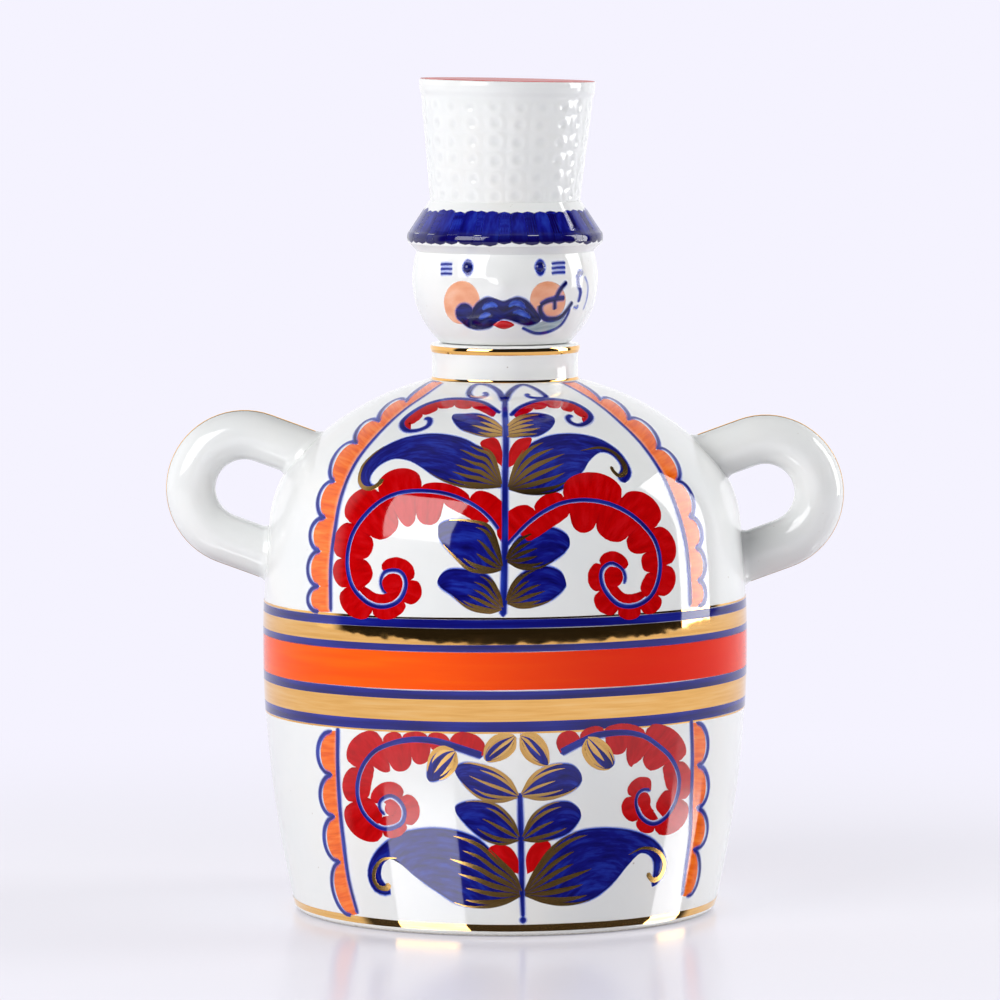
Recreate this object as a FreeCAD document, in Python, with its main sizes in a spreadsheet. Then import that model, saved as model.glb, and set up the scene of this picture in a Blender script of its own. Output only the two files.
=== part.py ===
import FreeCAD, Part
import Sketcher
import math
import os

# A porcelain decanter in the form of a stout figure with arms akimbo, whose head in a tall hat is the stopper.
# Millimetres. The figure's axis is Z, the table is z = 0, and the figure faces -Y with its own left arm at +X.

doc = FreeCAD.newDocument("figural_decanter")

# Driving dimensions

SIZES = [
    ("belly_radius", 64.2, "largest outside radius of the belly"),
    ("belly_height", 70.8, "height of the widest circle"),
    ("belly_arc", 300.0, "radius of the belly's outline"),
    ("foot_edge", 2.0, "rounding of the foot's outer edge"),
    ("foot_width", 6.0, "flat width of the ring that it stands on"),
    ("foot_recess", 2.0, "height of the base panel above the table"),
    ("wall", 4.5, "thickness of the vessel's wall"),
    ("floor", 5.0, "thickness of the vessel's floor"),
    ("floor_corner", 6.0, "inside rounding between floor and wall"),
    ("shoulder_height", 104.0, "height where the belly turns into the shoulder"),
    ("shoulder_arc", 29.0, "radius of the shoulder's outline"),
    ("shoulder_turn", 45.0, "slope in degrees where the shoulder turns into the dome"),
    ("neck_radius", 20.2, "radius where the collar meets the dome"),
    ("neck_height", 36.5, "height of the collar's foot above the turn of the shoulder"),
    ("neck_bore", 14.0, "inside radius of the neck"),
    ("collar_tall", 9.8, "height of the collar"),
    ("collar_waist", 0.8, "depth of the collar's waist within its foot"),
    ("lip_radius", 19.9, "outside radius of the collar's lip"),
    ("lip_tall", 2.6, "height of the lip"),
    ("lip_slope", 0.5, "height of the slope under the lip"),
    ("lip_round", 1.4, "rounding of the lip's upper edge"),
    ("arm_reach", 4.7, "distance of the bend's centre beyond the belly's widest circle"),
    ("arm_height", 111.5, "height of the bend's centre"),
    ("arm_bend", 14.2, "radius of the bend along the arm's middle"),
    ("arm_thickness", 13.3, "diameter of the arm"),
    ("arm_tilt", 20.0, "rise of the arm's legs in degrees, outwards"),
    ("seat_gap", 0.05, "seam between the head and the collar"),
    ("plug_wall", 2.4, "thickness of the plug's wall"),
    ("plug_depth", 22.0, "reach of the plug below the head"),
    ("bead_out", 1.3, "reach of the bead beyond the plug, which keeps the cork on"),
    ("bead_tall", 2.0, "height of the bead"),
    ("cork_wall", 2.85, "thickness of the cork"),
    ("cork_gap", 0.1, "play between the cork and the neck"),
    ("cork_play", 0.3, "play at each end of the cork"),
    ("cork_chamfer", 1.0, "lead-in at the cork's lower edge"),
    ("plug_gap", 0.05, "play between the cork and the plug"),
    ("head_radius", 24.6, "largest outside radius of the head"),
    ("head_arc", 22.66, "radius of the head's outline"),
    ("head_widest", 16.7, "height of the head's widest circle above its seat"),
    ("head_wall", 3.5, "thickness of the head's wall"),
    ("head_floor", 4.0, "thickness of the head's floor"),
    ("brim_under", 24.0, "height above the seat where the brim starts"),
    ("brim_low", 26.0, "height above the seat of the brim's lower edge"),
    ("brim_thick", 3.2, "height of the brim's rounded edge"),
    ("brim_radius", 25.9, "largest radius of the brim"),
    ("brim_bulge", 0.5, "bulge of the brim's rounded edge"),
    ("hat_foot", 37.3, "height above the seat where the hat starts"),
    ("hat_foot_radius", 20.1, "outside radius of the hat at its foot"),
    ("hat_top_radius", 23.3, "outside radius of the hat at its top"),
    ("hat_tall", 30.2, "height of the hat without its crown"),
    ("hat_arc", 400.0, "radius of the hat's hollow flare"),
    ("hat_wall", 3.5, "thickness of the hat's wall"),
    ("crown_edge", 1.15, "thickness of the crown at its edge"),
    ("crown_round", 0.9, "rounding of the crown's edge"),
    ("crown_rise", 1.0, "rise of the crown's dome"),
]

sizes = doc.addObject("Spreadsheet::Sheet", "Sizes")
for row, (name, value, meaning) in enumerate(SIZES, start=1):
    sizes.set(f"A{row}", name)
    sizes.set(f"B{row}", str(value))
    sizes.setAlias(f"B{row}", name)
    sizes.set(f"C{row}", meaning)
doc.recompute()

# Values that follow from the driving dimensions

derived = doc.addObject("App::VarSet", "Derived")


def derive(name, expression):
    derived.addProperty("App::PropertyFloat", name)
    derived.setExpression(name, expression)


# The belly, shoulder and dome are arcs that touch each other, so each centre lies on the line of the last two.
derive("belly_center", "Sizes.belly_radius - Sizes.belly_arc")
derive("belly_turn", "asin((Sizes.shoulder_height - Sizes.belly_height) / Sizes.belly_arc) / 1 deg")
derive("shoulder_center_r",
       "Derived.belly_center + (Sizes.belly_arc - Sizes.shoulder_arc) * cos(Derived.belly_turn)")
derive("shoulder_center_z",
       "Sizes.belly_height + (Sizes.belly_arc - Sizes.shoulder_arc) * sin(Derived.belly_turn)")
derive("neck_foot", "Sizes.shoulder_height + Sizes.neck_height")
derive("dome_run",
       "Sizes.neck_radius - Derived.shoulder_center_r - Sizes.shoulder_arc * cos(Sizes.shoulder_turn)")
derive("dome_rise",
       "Derived.neck_foot - Derived.shoulder_center_z - Sizes.shoulder_arc * sin(Sizes.shoulder_turn)")
derive("dome_arc",
       "-(Derived.dome_run ^ 2 + Derived.dome_rise ^ 2)"
       " / (2 * (Derived.dome_run * cos(Sizes.shoulder_turn) + Derived.dome_rise * sin(Sizes.shoulder_turn)))")
derive("dome_center_r",
       "Derived.shoulder_center_r - (Derived.dome_arc - Sizes.shoulder_arc) * cos(Sizes.shoulder_turn)")
derive("dome_center_z",
       "Derived.shoulder_center_z - (Derived.dome_arc - Sizes.shoulder_arc) * sin(Sizes.shoulder_turn)")

# The foot's outer edge and the corner inside are roundings between a level line and the belly's arc.
derive("foot_center_r",
       "Derived.belly_center"
       " + sqrt((Sizes.belly_arc - Sizes.foot_edge) ^ 2 - (Sizes.belly_height - Sizes.foot_edge) ^ 2)")
derive("foot_turn",
       "asin((Sizes.foot_edge - Sizes.belly_height) / (Sizes.belly_arc - Sizes.foot_edge)) / 1 deg")
derive("floor_height", "Sizes.foot_recess + Sizes.floor")
derive("corner_center_z", "Derived.floor_height + Sizes.floor_corner")
derive("corner_reach", "Sizes.belly_arc - Sizes.wall - Sizes.floor_corner")
derive("corner_center_r",
       "Derived.belly_center + sqrt(Derived.corner_reach ^ 2 - (Sizes.belly_height - Derived.corner_center_z) ^ 2)")
derive("corner_turn", "asin((Derived.corner_center_z - Sizes.belly_height) / Derived.corner_reach) / 1 deg")
derive("bore_foot",
       "Derived.dome_center_z"
       " + sqrt((Derived.dome_arc - Sizes.wall) ^ 2 - (Sizes.neck_bore - Derived.dome_center_r) ^ 2)")

# The arms stand out from the belly, and half of each leg's way to the axis is enough to reach into the shoulder.
derive("arm_center", "Sizes.belly_radius + Sizes.arm_reach")
derive("arm_leg", "Derived.arm_center / 2")

# The cork fits the neck and the plug fits the cork.
derive("cork_radius", "Sizes.neck_bore - Sizes.cork_gap")
derive("cork_bore", "Derived.cork_radius - Sizes.cork_wall")
derive("plug_radius", "Derived.cork_bore - Sizes.plug_gap")
derive("plug_bore", "Derived.plug_radius - Sizes.plug_wall")
derive("bead_radius", "Derived.plug_radius + Sizes.bead_out")

# The stopper stands on the collar, and the hat on the head.
derive("seat_height", "Derived.neck_foot + Sizes.collar_tall + Sizes.seat_gap")
derive("hat_height", "Derived.seat_height + Sizes.hat_foot")
derive("crown_height", "Derived.hat_height + Sizes.hat_tall")
derive("head_center", "Sizes.head_radius - Sizes.head_arc")
derive("head_inner_arc", "Sizes.head_arc - Sizes.head_wall")
derive("brim_arc", "(Sizes.brim_thick ^ 2 / 4 + Sizes.brim_bulge ^ 2) / (2 * Sizes.brim_bulge)")
derive("crown_flat", "Sizes.hat_top_radius - Sizes.crown_round")
derive("crown_arc", "(Derived.crown_flat ^ 2 + Sizes.crown_rise ^ 2) / (2 * Sizes.crown_rise)")
doc.recompute()


# Sketches and solids of revolution

def number(expression):
    return float(sizes.evalExpression(expression))


def origin_plane(body, role):
    return [feature for feature in body.Origin.OriginFeatures if feature.Role == role][0]


def new_sketch(body, name, role):
    sketch = body.newObject("Sketcher::SketchObject", name)
    sketch.AttachmentSupport = [(origin_plane(body, role), "")]
    sketch.MapMode = "FlatFace"
    return sketch


def bind(sketch, constraint, expression):
    index = sketch.addConstraint(constraint)
    sketch.setExpression(f"Constraints[{index}]", expression)


def arc_through(start, end, radius, turn):
    """The arc of less than a half circle from start to end: turn is 1 anticlockwise, -1 clockwise."""
    chord = end - start
    middle = (start + end) * 0.5
    side = FreeCAD.Vector(-chord.y, chord.x, 0).normalize()
    center = middle + side * (turn * math.sqrt(radius ** 2 - chord.Length ** 2 / 4))
    circle = Part.Circle(center, FreeCAD.Vector(0, 0, 1), radius)
    first, last = (start, end) if turn > 0 else (end, start)
    return Part.ArcOfCircle(circle, circle.parameter(first), circle.parameter(last))


def draw_outline(sketch, outline):
    """A closed outline. Each corner gives its radius, its height and the arc that leads on from it:
    None for a straight line, or the arc's radius and its turn."""
    corners = [FreeCAD.Vector(number(r), number(z), 0) for r, z, _ in outline]
    ends = []
    for place, (_, _, arc) in enumerate(outline):
        start = corners[place]
        end = corners[(place + 1) % len(corners)]
        if arc is None:
            edge = sketch.addGeometry(Part.LineSegment(start, end), False)
            ends.append((edge, 1, 2))
        else:
            radius, turn = arc
            edge = sketch.addGeometry(arc_through(start, end, number(radius), turn), False)
            bind(sketch, Sketcher.Constraint("Radius", edge, number(radius)), radius)
            ends.append((edge, 1, 2) if turn > 0 else (edge, 2, 1))
    for place, (r, z, _) in enumerate(outline):
        edge, first, _ = ends[place]
        before, _, last = ends[place - 1]
        sketch.addConstraint(Sketcher.Constraint("Coincident", before, last, edge, first))
        if r == "0":
            sketch.addConstraint(Sketcher.Constraint("PointOnObject", edge, first, -2))
        else:
            bind(sketch, Sketcher.Constraint("DistanceX", edge, first, corners[place].x), r)
        if z == "0":
            sketch.addConstraint(Sketcher.Constraint("PointOnObject", edge, first, -1))
        else:
            bind(sketch, Sketcher.Constraint("DistanceY", edge, first, corners[place].y), z)


def turned(label, outline, height=None):
    """A body turned about the axis from half its section. Its place is at the given height."""
    body = doc.addObject("PartDesign::Body", label)
    body.Label = label
    section = new_sketch(body, f"{label}_section", "XZ_Plane")
    draw_outline(section, outline)
    revolution = body.newObject("PartDesign::Revolution", f"{label}_turned")
    revolution.Profile = section
    revolution.ReferenceAxis = (section, ["V_Axis"])
    revolution.Angle = 360
    if height:
        body.setExpression("Placement.Base.z", height)
    return body


def on_arc(center_r, center_z, radius, angle):
    """The radius and height of a point on an arc, as two expressions."""
    return f"{center_r} + ({radius}) * cos({angle})", f"{center_z} + ({radius}) * sin({angle})"


def across(center, radius, rise):
    """The radius of a round outline at a given rise from its centre."""
    return f"{center} + sqrt(({radius}) ^ 2 - ({rise}) ^ 2)"


def cut(label, base, tool):
    result = doc.addObject("Part::Cut", label)
    result.Label = label
    result.Base = base
    result.Tool = tool
    return result


# The vessel: a solid form with the outside shape, less the space inside

BELLY = ("Derived.belly_center", "Sizes.belly_height")
SHOULDER = ("Derived.shoulder_center_r", "Derived.shoulder_center_z")


def vessel_rise(inset, angle_at_foot):
    """The arcs from the foot to the dome, set in from the outside shape by an inset."""
    belly = f"Sizes.belly_arc - {inset}"
    shoulder = f"Sizes.shoulder_arc - {inset}"
    dome = f"Derived.dome_arc - {inset}"
    return [
        (*on_arc(*BELLY, belly, angle_at_foot), (belly, 1)),
        (*on_arc(*BELLY, belly, "Derived.belly_turn"), (shoulder, 1)),
        (*on_arc(*SHOULDER, shoulder, "Sizes.shoulder_turn"), (dome, 1)),
    ]


foot_inner = "Derived.foot_center_r - Sizes.foot_width"
vessel_form = turned("vessel_form", [
    ("0", "Sizes.foot_recess", None),
    (foot_inner, "Sizes.foot_recess", None),
    (foot_inner, "0", None),
    ("Derived.foot_center_r", "0", ("Sizes.foot_edge", 1)),
    *vessel_rise("0", "Derived.foot_turn"),
    ("Sizes.neck_radius", "Derived.neck_foot", None),
    ("0", "Derived.neck_foot", None),
])

above_neck = "Derived.neck_foot + Sizes.collar_tall"
cavity_form = turned("cavity_form", [
    ("0", "Derived.floor_height", None),
    ("Derived.corner_center_r", "Derived.floor_height", ("Sizes.floor_corner", 1)),
    *vessel_rise("Sizes.wall", "Derived.corner_turn"),
    ("Sizes.neck_bore", "Derived.bore_foot", None),
    ("Sizes.neck_bore", above_neck, None),
    ("0", above_neck, None),
])

body_shell = cut("body_shell", vessel_form, cavity_form)

# The collar on the neck, with a hollow foot and a rounded lip

lip_low = "Sizes.collar_tall - Sizes.lip_tall"
waist = "Sizes.neck_radius - Sizes.collar_waist"
neck_collar = turned("neck_collar", [
    ("Sizes.neck_bore", "0", None),
    ("Sizes.neck_radius", "0", ("Sizes.collar_waist", -1)),
    (waist, "Sizes.collar_waist", None),
    (waist, lip_low, None),
    ("Sizes.lip_radius", f"{lip_low} + Sizes.lip_slope", None),
    ("Sizes.lip_radius", "Sizes.collar_tall - Sizes.lip_round", ("Sizes.lip_round", 1)),
    ("Sizes.lip_radius - Sizes.lip_round", "Sizes.collar_tall", None),
    ("Sizes.neck_bore", "Sizes.collar_tall", None),
], "Derived.neck_foot")


# The arms: a round bar bent to a hairpin, whose legs end on the shoulder's surface

def arm(label, side):
    """side is 1 for the arm at +X and -1 for the arm at -X."""
    bar = doc.addObject("PartDesign::Body", f"{label}_bar")
    bend = number("Sizes.arm_bend")
    leg = number("Derived.arm_leg")
    upright = FreeCAD.Vector(0, 0, 1)

    spine = new_sketch(bar, f"{label}_spine", "XZ_Plane")
    quarter = math.pi / 2
    round_end = Part.ArcOfCircle(Part.Circle(FreeCAD.Vector(), upright, bend), -side * quarter,
                                 -side * quarter + math.pi)
    low, high = (1, 2) if side > 0 else (2, 1)
    lower_leg = spine.addGeometry(
        Part.LineSegment(FreeCAD.Vector(-side * leg, -bend, 0), FreeCAD.Vector(0, -bend, 0)), False)
    elbow = spine.addGeometry(round_end, False)
    upper_leg = spine.addGeometry(
        Part.LineSegment(FreeCAD.Vector(0, bend, 0), FreeCAD.Vector(-side * leg, bend, 0)), False)
    spine.addConstraint(Sketcher.Constraint("Coincident", elbow, 3, -1, 1))
    bind(spine, Sketcher.Constraint("Radius", elbow, bend), "Sizes.arm_bend")
    spine.addConstraint(Sketcher.Constraint("PointOnObject", elbow, low, -2))
    spine.addConstraint(Sketcher.Constraint("PointOnObject", elbow, high, -2))
    spine.addConstraint(Sketcher.Constraint("Coincident", lower_leg, 2, elbow, low))
    spine.addConstraint(Sketcher.Constraint("Coincident", upper_leg, 1, elbow, high))
    for leg_line in (lower_leg, upper_leg):
        spine.addConstraint(Sketcher.Constraint("Horizontal", leg_line))
        bind(spine, Sketcher.Constraint("Distance", leg_line, leg), "Derived.arm_leg")

    section = new_sketch(bar, f"{label}_section", "YZ_Plane")
    section.AttachmentOffset = FreeCAD.Placement(FreeCAD.Vector(0, 0, -side * leg), FreeCAD.Rotation())
    section.setExpression("AttachmentOffset.Base.z", f"{-side} * Derived.arm_leg")
    half = number("Sizes.arm_thickness / 2")
    ring = section.addGeometry(Part.Circle(FreeCAD.Vector(0, -bend, 0), upright, half), False)
    bind(section, Sketcher.Constraint("Radius", ring, half), "Sizes.arm_thickness / 2")
    section.addConstraint(Sketcher.Constraint("PointOnObject", ring, 3, -2))
    bind(section, Sketcher.Constraint("DistanceY", ring, 3, -bend), "-Sizes.arm_bend")
    doc.recompute()

    pipe = bar.newObject("PartDesign::AdditivePipe", f"{label}_pipe")
    pipe.Profile = section
    pipe.Spine = (spine, ["Edge1", "Edge2", "Edge3"])
    bar.Placement = FreeCAD.Placement(FreeCAD.Vector(), FreeCAD.Rotation(FreeCAD.Vector(0, -side, 0), 1))
    bar.setExpression("Placement.Base.x", f"{side} * Derived.arm_center")
    bar.setExpression("Placement.Base.z", "Sizes.arm_height")
    bar.setExpression("Placement.Rotation.Angle", "Sizes.arm_tilt")
    return cut(label, bar, vessel_form)


left_arm = arm("left_arm", 1)
right_arm = arm("right_arm", -1)

# The stopper's hollow plug, with a bead at its lower end, and the cork on it

bead_top = "Sizes.bead_tall - Sizes.plug_depth"
stopper_plug = turned("stopper_plug", [
    ("Derived.plug_bore", "-Sizes.plug_depth", None),
    ("Derived.plug_radius", "-Sizes.plug_depth", None),
    ("Derived.bead_radius", bead_top, None),
    ("Derived.plug_radius", bead_top, None),
    ("Derived.plug_radius", "0", None),
    ("Derived.plug_bore", "0", None),
], "Derived.seat_height")

cork_foot = f"{bead_top} + Sizes.cork_play"
cork_sleeve = turned("cork_sleeve", [
    ("Derived.cork_bore", cork_foot, None),
    ("Derived.cork_radius - Sizes.cork_chamfer", cork_foot, None),
    ("Derived.cork_radius", f"{cork_foot} + Sizes.cork_chamfer", None),
    ("Derived.cork_radius", "-Sizes.cork_play", None),
    ("Derived.cork_bore", "-Sizes.cork_play", None),
], "Derived.seat_height")

# The hollow head with the hat's brim, open to the plug below and to the hat above

head_foot = across("Derived.head_center", "Sizes.head_arc", "Sizes.head_widest")
head_top = across("Derived.head_center", "Sizes.head_arc", "Sizes.brim_under - Sizes.head_widest")
inner_foot = across("Derived.head_center", "Derived.head_inner_arc", "Sizes.head_widest - Sizes.head_floor")
inner_top = across("Derived.head_center", "Derived.head_inner_arc", "Sizes.brim_under - Sizes.head_widest")
brim_lip = "Sizes.brim_radius - Sizes.brim_bulge"
hat_foot_inner = "Sizes.hat_foot_radius - Sizes.hat_wall"
head_shell = turned("head_shell", [
    ("Derived.plug_bore", "0", None),
    (head_foot, "0", ("Sizes.head_arc", 1)),
    (head_top, "Sizes.brim_under", None),
    (brim_lip, "Sizes.brim_low", ("Derived.brim_arc", 1)),
    (brim_lip, "Sizes.brim_low + Sizes.brim_thick", None),
    ("Sizes.hat_foot_radius", "Sizes.hat_foot", None),
    (hat_foot_inner, "Sizes.hat_foot", None),
    (inner_top, "Sizes.brim_under", ("Derived.head_inner_arc", -1)),
    (inner_foot, "Sizes.head_floor", None),
    ("Derived.plug_bore", "Sizes.head_floor", None),
], "Derived.seat_height")

# The hat, a flaring tube, and the crown that closes it

hat_shell = turned("hat_shell", [
    (hat_foot_inner, "0", None),
    ("Sizes.hat_foot_radius", "0", ("Sizes.hat_arc", -1)),
    ("Sizes.hat_top_radius", "Sizes.hat_tall", None),
    ("Sizes.hat_top_radius - Sizes.hat_wall", "Sizes.hat_tall", None),
], "Derived.hat_height")

hat_crown = turned("hat_crown", [
    ("0", "0", None),
    ("Sizes.hat_top_radius", "0", None),
    ("Sizes.hat_top_radius", "Sizes.crown_edge - Sizes.crown_round", ("Sizes.crown_round", 1)),
    ("Derived.crown_flat", "Sizes.crown_edge", ("Derived.crown_arc", 1)),
    ("0", "Sizes.crown_edge + Sizes.crown_rise", None),
], "Derived.crown_height")

# Check every feature and write each sub-part

sub_parts = [
    body_shell, neck_collar, left_arm, right_arm,
    cork_sleeve, stopper_plug, head_shell, hat_shell, hat_crown,
]

doc.recompute()
for item in doc.Objects:
    if "Invalid" in item.State or "Error" in item.State:
        raise RuntimeError(f"{item.Label} did not build: {item.State}")
for piece in sub_parts:
    if piece.Shape.isNull() or not piece.Shape.isValid() or len(piece.Shape.Solids) != 1:
        raise RuntimeError(f"{piece.Label} is not one valid solid")

os.makedirs("parts", exist_ok=True)
for piece in sub_parts:
    piece.Shape.exportStep(f"parts/{piece.Label}.step")
    box = piece.Shape.BoundBox
    print(f"{piece.Label}: {piece.Shape.Volume / 1000:.2f} cm3, z {box.ZMin:.2f} to {box.ZMax:.2f}")
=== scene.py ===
import math
import random

import bmesh
import bpy
import numpy as np
from mathutils import Matrix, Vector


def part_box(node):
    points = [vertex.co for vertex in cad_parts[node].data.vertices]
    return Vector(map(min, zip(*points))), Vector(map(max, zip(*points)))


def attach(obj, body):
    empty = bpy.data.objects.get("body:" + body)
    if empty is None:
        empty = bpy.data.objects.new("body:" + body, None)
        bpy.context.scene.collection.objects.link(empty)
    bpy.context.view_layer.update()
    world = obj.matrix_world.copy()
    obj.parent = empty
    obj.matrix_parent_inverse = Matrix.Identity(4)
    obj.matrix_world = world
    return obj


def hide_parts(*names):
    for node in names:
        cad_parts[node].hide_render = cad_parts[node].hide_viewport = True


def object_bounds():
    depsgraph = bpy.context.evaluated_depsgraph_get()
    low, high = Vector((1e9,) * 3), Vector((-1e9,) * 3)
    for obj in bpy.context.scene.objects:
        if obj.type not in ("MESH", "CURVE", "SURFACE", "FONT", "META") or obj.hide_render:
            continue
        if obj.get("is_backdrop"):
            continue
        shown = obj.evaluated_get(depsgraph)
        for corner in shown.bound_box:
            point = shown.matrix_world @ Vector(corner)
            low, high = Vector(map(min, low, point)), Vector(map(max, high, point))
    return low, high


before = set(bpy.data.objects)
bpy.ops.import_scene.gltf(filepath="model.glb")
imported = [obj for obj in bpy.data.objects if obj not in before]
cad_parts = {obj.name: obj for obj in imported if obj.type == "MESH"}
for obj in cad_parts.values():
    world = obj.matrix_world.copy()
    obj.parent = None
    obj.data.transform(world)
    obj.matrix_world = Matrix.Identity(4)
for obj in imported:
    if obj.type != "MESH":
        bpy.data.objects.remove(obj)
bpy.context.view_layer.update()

# A painted porcelain decanter: a stout figure whose head, in a tall fur hat, is the stopper.
# Sizes are millimetres, and the meshes are scaled to metres when they are made.
# The ornament's points are pixels of the 1000 x 1000 photograph. Each is laid where the view through it
# meets the surface.

MM = 0.001
RANDOM = random.Random(11)

FRAME_SIZE = 1000
SENSOR = 36.0
FOCAL = 6444.6
CAMERA_PLACE = np.array((-1.33, -1700.0, 249.95))
CAMERA_AIM = np.array((-1.33, 0.0, 108.37))

# Sizes of the pieces: the parts in model.glb give the outer ones, and the rest shape the outlines between
# them

BELLY_HEIGHT = 70.8
BELLY_ARC = 300.0
FOOT_EDGE = 2.0
FOOT_WIDTH = 6.0
FOOT_RECESS = 2.0
WALL = 4.5
FLOOR_HEIGHT = 7.0
FLOOR_FILLET = 6.0
SHOULDER_HEIGHT = 104.0
SHOULDER_ARC = 29.0
SHOULDER_TURN = math.radians(45)
NECK_BORE = 14.0
BORE_EDGE = 0.5
COLLAR_FOOT = 0.8
COLLAR_LIP = 1.4
COLLAR_LIP_RADIUS = 18.5
COLLAR_UNDER_LIP = [(19.4, 2.9), (19.55, 2.45)]
HEAD_ARC = 22.66
HEAD_RADIUS = 24.6
HEAD_WIDEST = 16.7
HEAD_WALL = 3.5
HEAD_FLOOR = 4.0
BRIM_UNDER = 24.0
BRIM_LOW = 26.0
BRIM_THICK = 3.2
BRIM_BULGE = 0.5
HAT_FOOT_RADIUS = 20.1
HAT_WALL = 3.5
HAT_HOLLOW = 0.06
HAT_RELIEF = 0.45
HAT_LEAN = 0.02
CROWN_ROUND = 0.5
CROWN_DOME = 0.1
PLUG_BEAD = 1.3
PLUG_WALL = 2.4
CORK_ROOM = 0.05
PAINT_ROOM = 0.12


def node_box(node):
    low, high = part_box(node)
    return np.array(low) / MM, np.array(high) / MM


BELLY_RADIUS = node_box("body_shell")[1][0]
NECK_HEIGHT = node_box("body_shell")[1][2]
NECK_RADIUS = node_box("neck_collar")[1][0]
COLLAR_TOP = node_box("neck_collar")[1][2]
SEAT = node_box("head_shell")[0][2]
BRIM_RADIUS = node_box("head_shell")[1][0]
HAT_FOOT = node_box("hat_shell")[0][2]
HAT_TOP = node_box("hat_shell")[1][2]
HAT_TOP_RADIUS = node_box("hat_shell")[1][0]
CROWN_TOP = node_box("hat_crown")[1][2]
PLUG_LOW = node_box("stopper_plug")[0][2]
PLUG_RADIUS = node_box("stopper_plug")[1][0] - PLUG_BEAD
PLUG_BORE = PLUG_RADIUS - PLUG_WALL
CORK_RADIUS = node_box("cork_sleeve")[1][0]
CORK_LOW, CORK_TOP = (corner[2] for corner in node_box("cork_sleeve"))


# Outlines, as lists of radius and height

def arc(center, radius, first, last, count):
    turns = np.linspace(first, last, count)
    return [(center[0] + radius * math.cos(a), center[1] + radius * math.sin(a)) for a in turns]


BELLY_CENTER = (BELLY_RADIUS - BELLY_ARC, BELLY_HEIGHT)
BELLY_TURN = math.asin((SHOULDER_HEIGHT - BELLY_HEIGHT) / BELLY_ARC)
SHOULDER_CENTER = (
    BELLY_CENTER[0] + (BELLY_ARC - SHOULDER_ARC) * math.cos(BELLY_TURN),
    BELLY_CENTER[1] + (BELLY_ARC - SHOULDER_ARC) * math.sin(BELLY_TURN),
)
DOME_RUN = NECK_RADIUS - SHOULDER_CENTER[0] - SHOULDER_ARC * math.cos(SHOULDER_TURN)
DOME_RISE = NECK_HEIGHT - SHOULDER_CENTER[1] - SHOULDER_ARC * math.sin(SHOULDER_TURN)
DOME_ARC = -(DOME_RUN ** 2 + DOME_RISE ** 2) / (
    2 * (DOME_RUN * math.cos(SHOULDER_TURN) + DOME_RISE * math.sin(SHOULDER_TURN)))
DOME_CENTER = (
    SHOULDER_CENTER[0] - (DOME_ARC - SHOULDER_ARC) * math.cos(SHOULDER_TURN),
    SHOULDER_CENTER[1] - (DOME_ARC - SHOULDER_ARC) * math.sin(SHOULDER_TURN),
)
FOOT_REACH = BELLY_ARC - FOOT_EDGE
FOOT_TURN = math.asin((FOOT_EDGE - BELLY_HEIGHT) / FOOT_REACH)
FOOT_CENTER = (BELLY_CENTER[0] + FOOT_REACH * math.cos(FOOT_TURN), FOOT_EDGE)


def wall_outline(inset, low, neck_radius):
    """The vessel's wall from the foot to the neck, set in from the outside."""
    reach = DOME_ARC - inset
    neck_turn = math.acos((neck_radius - DOME_CENTER[0]) / reach)
    belly = arc(BELLY_CENTER, BELLY_ARC - inset, low, BELLY_TURN, 70)
    shoulder = arc(SHOULDER_CENTER, SHOULDER_ARC - inset, BELLY_TURN, SHOULDER_TURN, 26)
    dome = arc(DOME_CENTER, reach, SHOULDER_TURN, neck_turn, 36)
    return belly + shoulder[1:] + dome[1:]


def skin_outline():
    """The outside of the vessel, with room left for the paint."""
    edge = arc(FOOT_CENTER, FOOT_EDGE - PAINT_ROOM, -math.pi / 2, FOOT_TURN, 8)
    return edge + wall_outline(PAINT_ROOM, FOOT_TURN, NECK_RADIUS - PAINT_ROOM)[1:]


def vessel_section():
    fillet_height = FLOOR_HEIGHT + FLOOR_FILLET
    inner_turn = math.asin((fillet_height - BELLY_HEIGHT) / (BELLY_ARC - WALL))
    inside = wall_outline(WALL, inner_turn, NECK_BORE)
    foot_inner = FOOT_CENTER[0] - FOOT_WIDTH
    bottom = [(0, FOOT_RECESS), (foot_inner, FOOT_RECESS), (foot_inner, 0)]
    mouth = [(NECK_RADIUS - PAINT_ROOM, NECK_HEIGHT), (NECK_BORE, NECK_HEIGHT)]
    fillet_center = (inside[0][0] - FLOOR_FILLET, fillet_height)
    floor = arc(fillet_center, FLOOR_FILLET, 0, -math.pi / 2, 8) + [(0, FLOOR_HEIGHT)]
    return bottom + skin_outline() + mouth + inside[::-1] + floor


def collar_outline():
    """The outside of the collar: a hollow foot, a waist and a rounded lip."""
    foot_center = (NECK_RADIUS, NECK_HEIGHT + COLLAR_FOOT)
    foot = arc(foot_center, COLLAR_FOOT + PAINT_ROOM, -math.pi / 2, -math.pi, 6)
    under_lip = [(r - PAINT_ROOM, COLLAR_TOP - depth) for r, depth in COLLAR_UNDER_LIP]
    lip = arc((COLLAR_LIP_RADIUS, COLLAR_TOP - COLLAR_LIP), COLLAR_LIP - PAINT_ROOM, 0, math.pi / 2, 9)
    return foot + under_lip + lip


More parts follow.
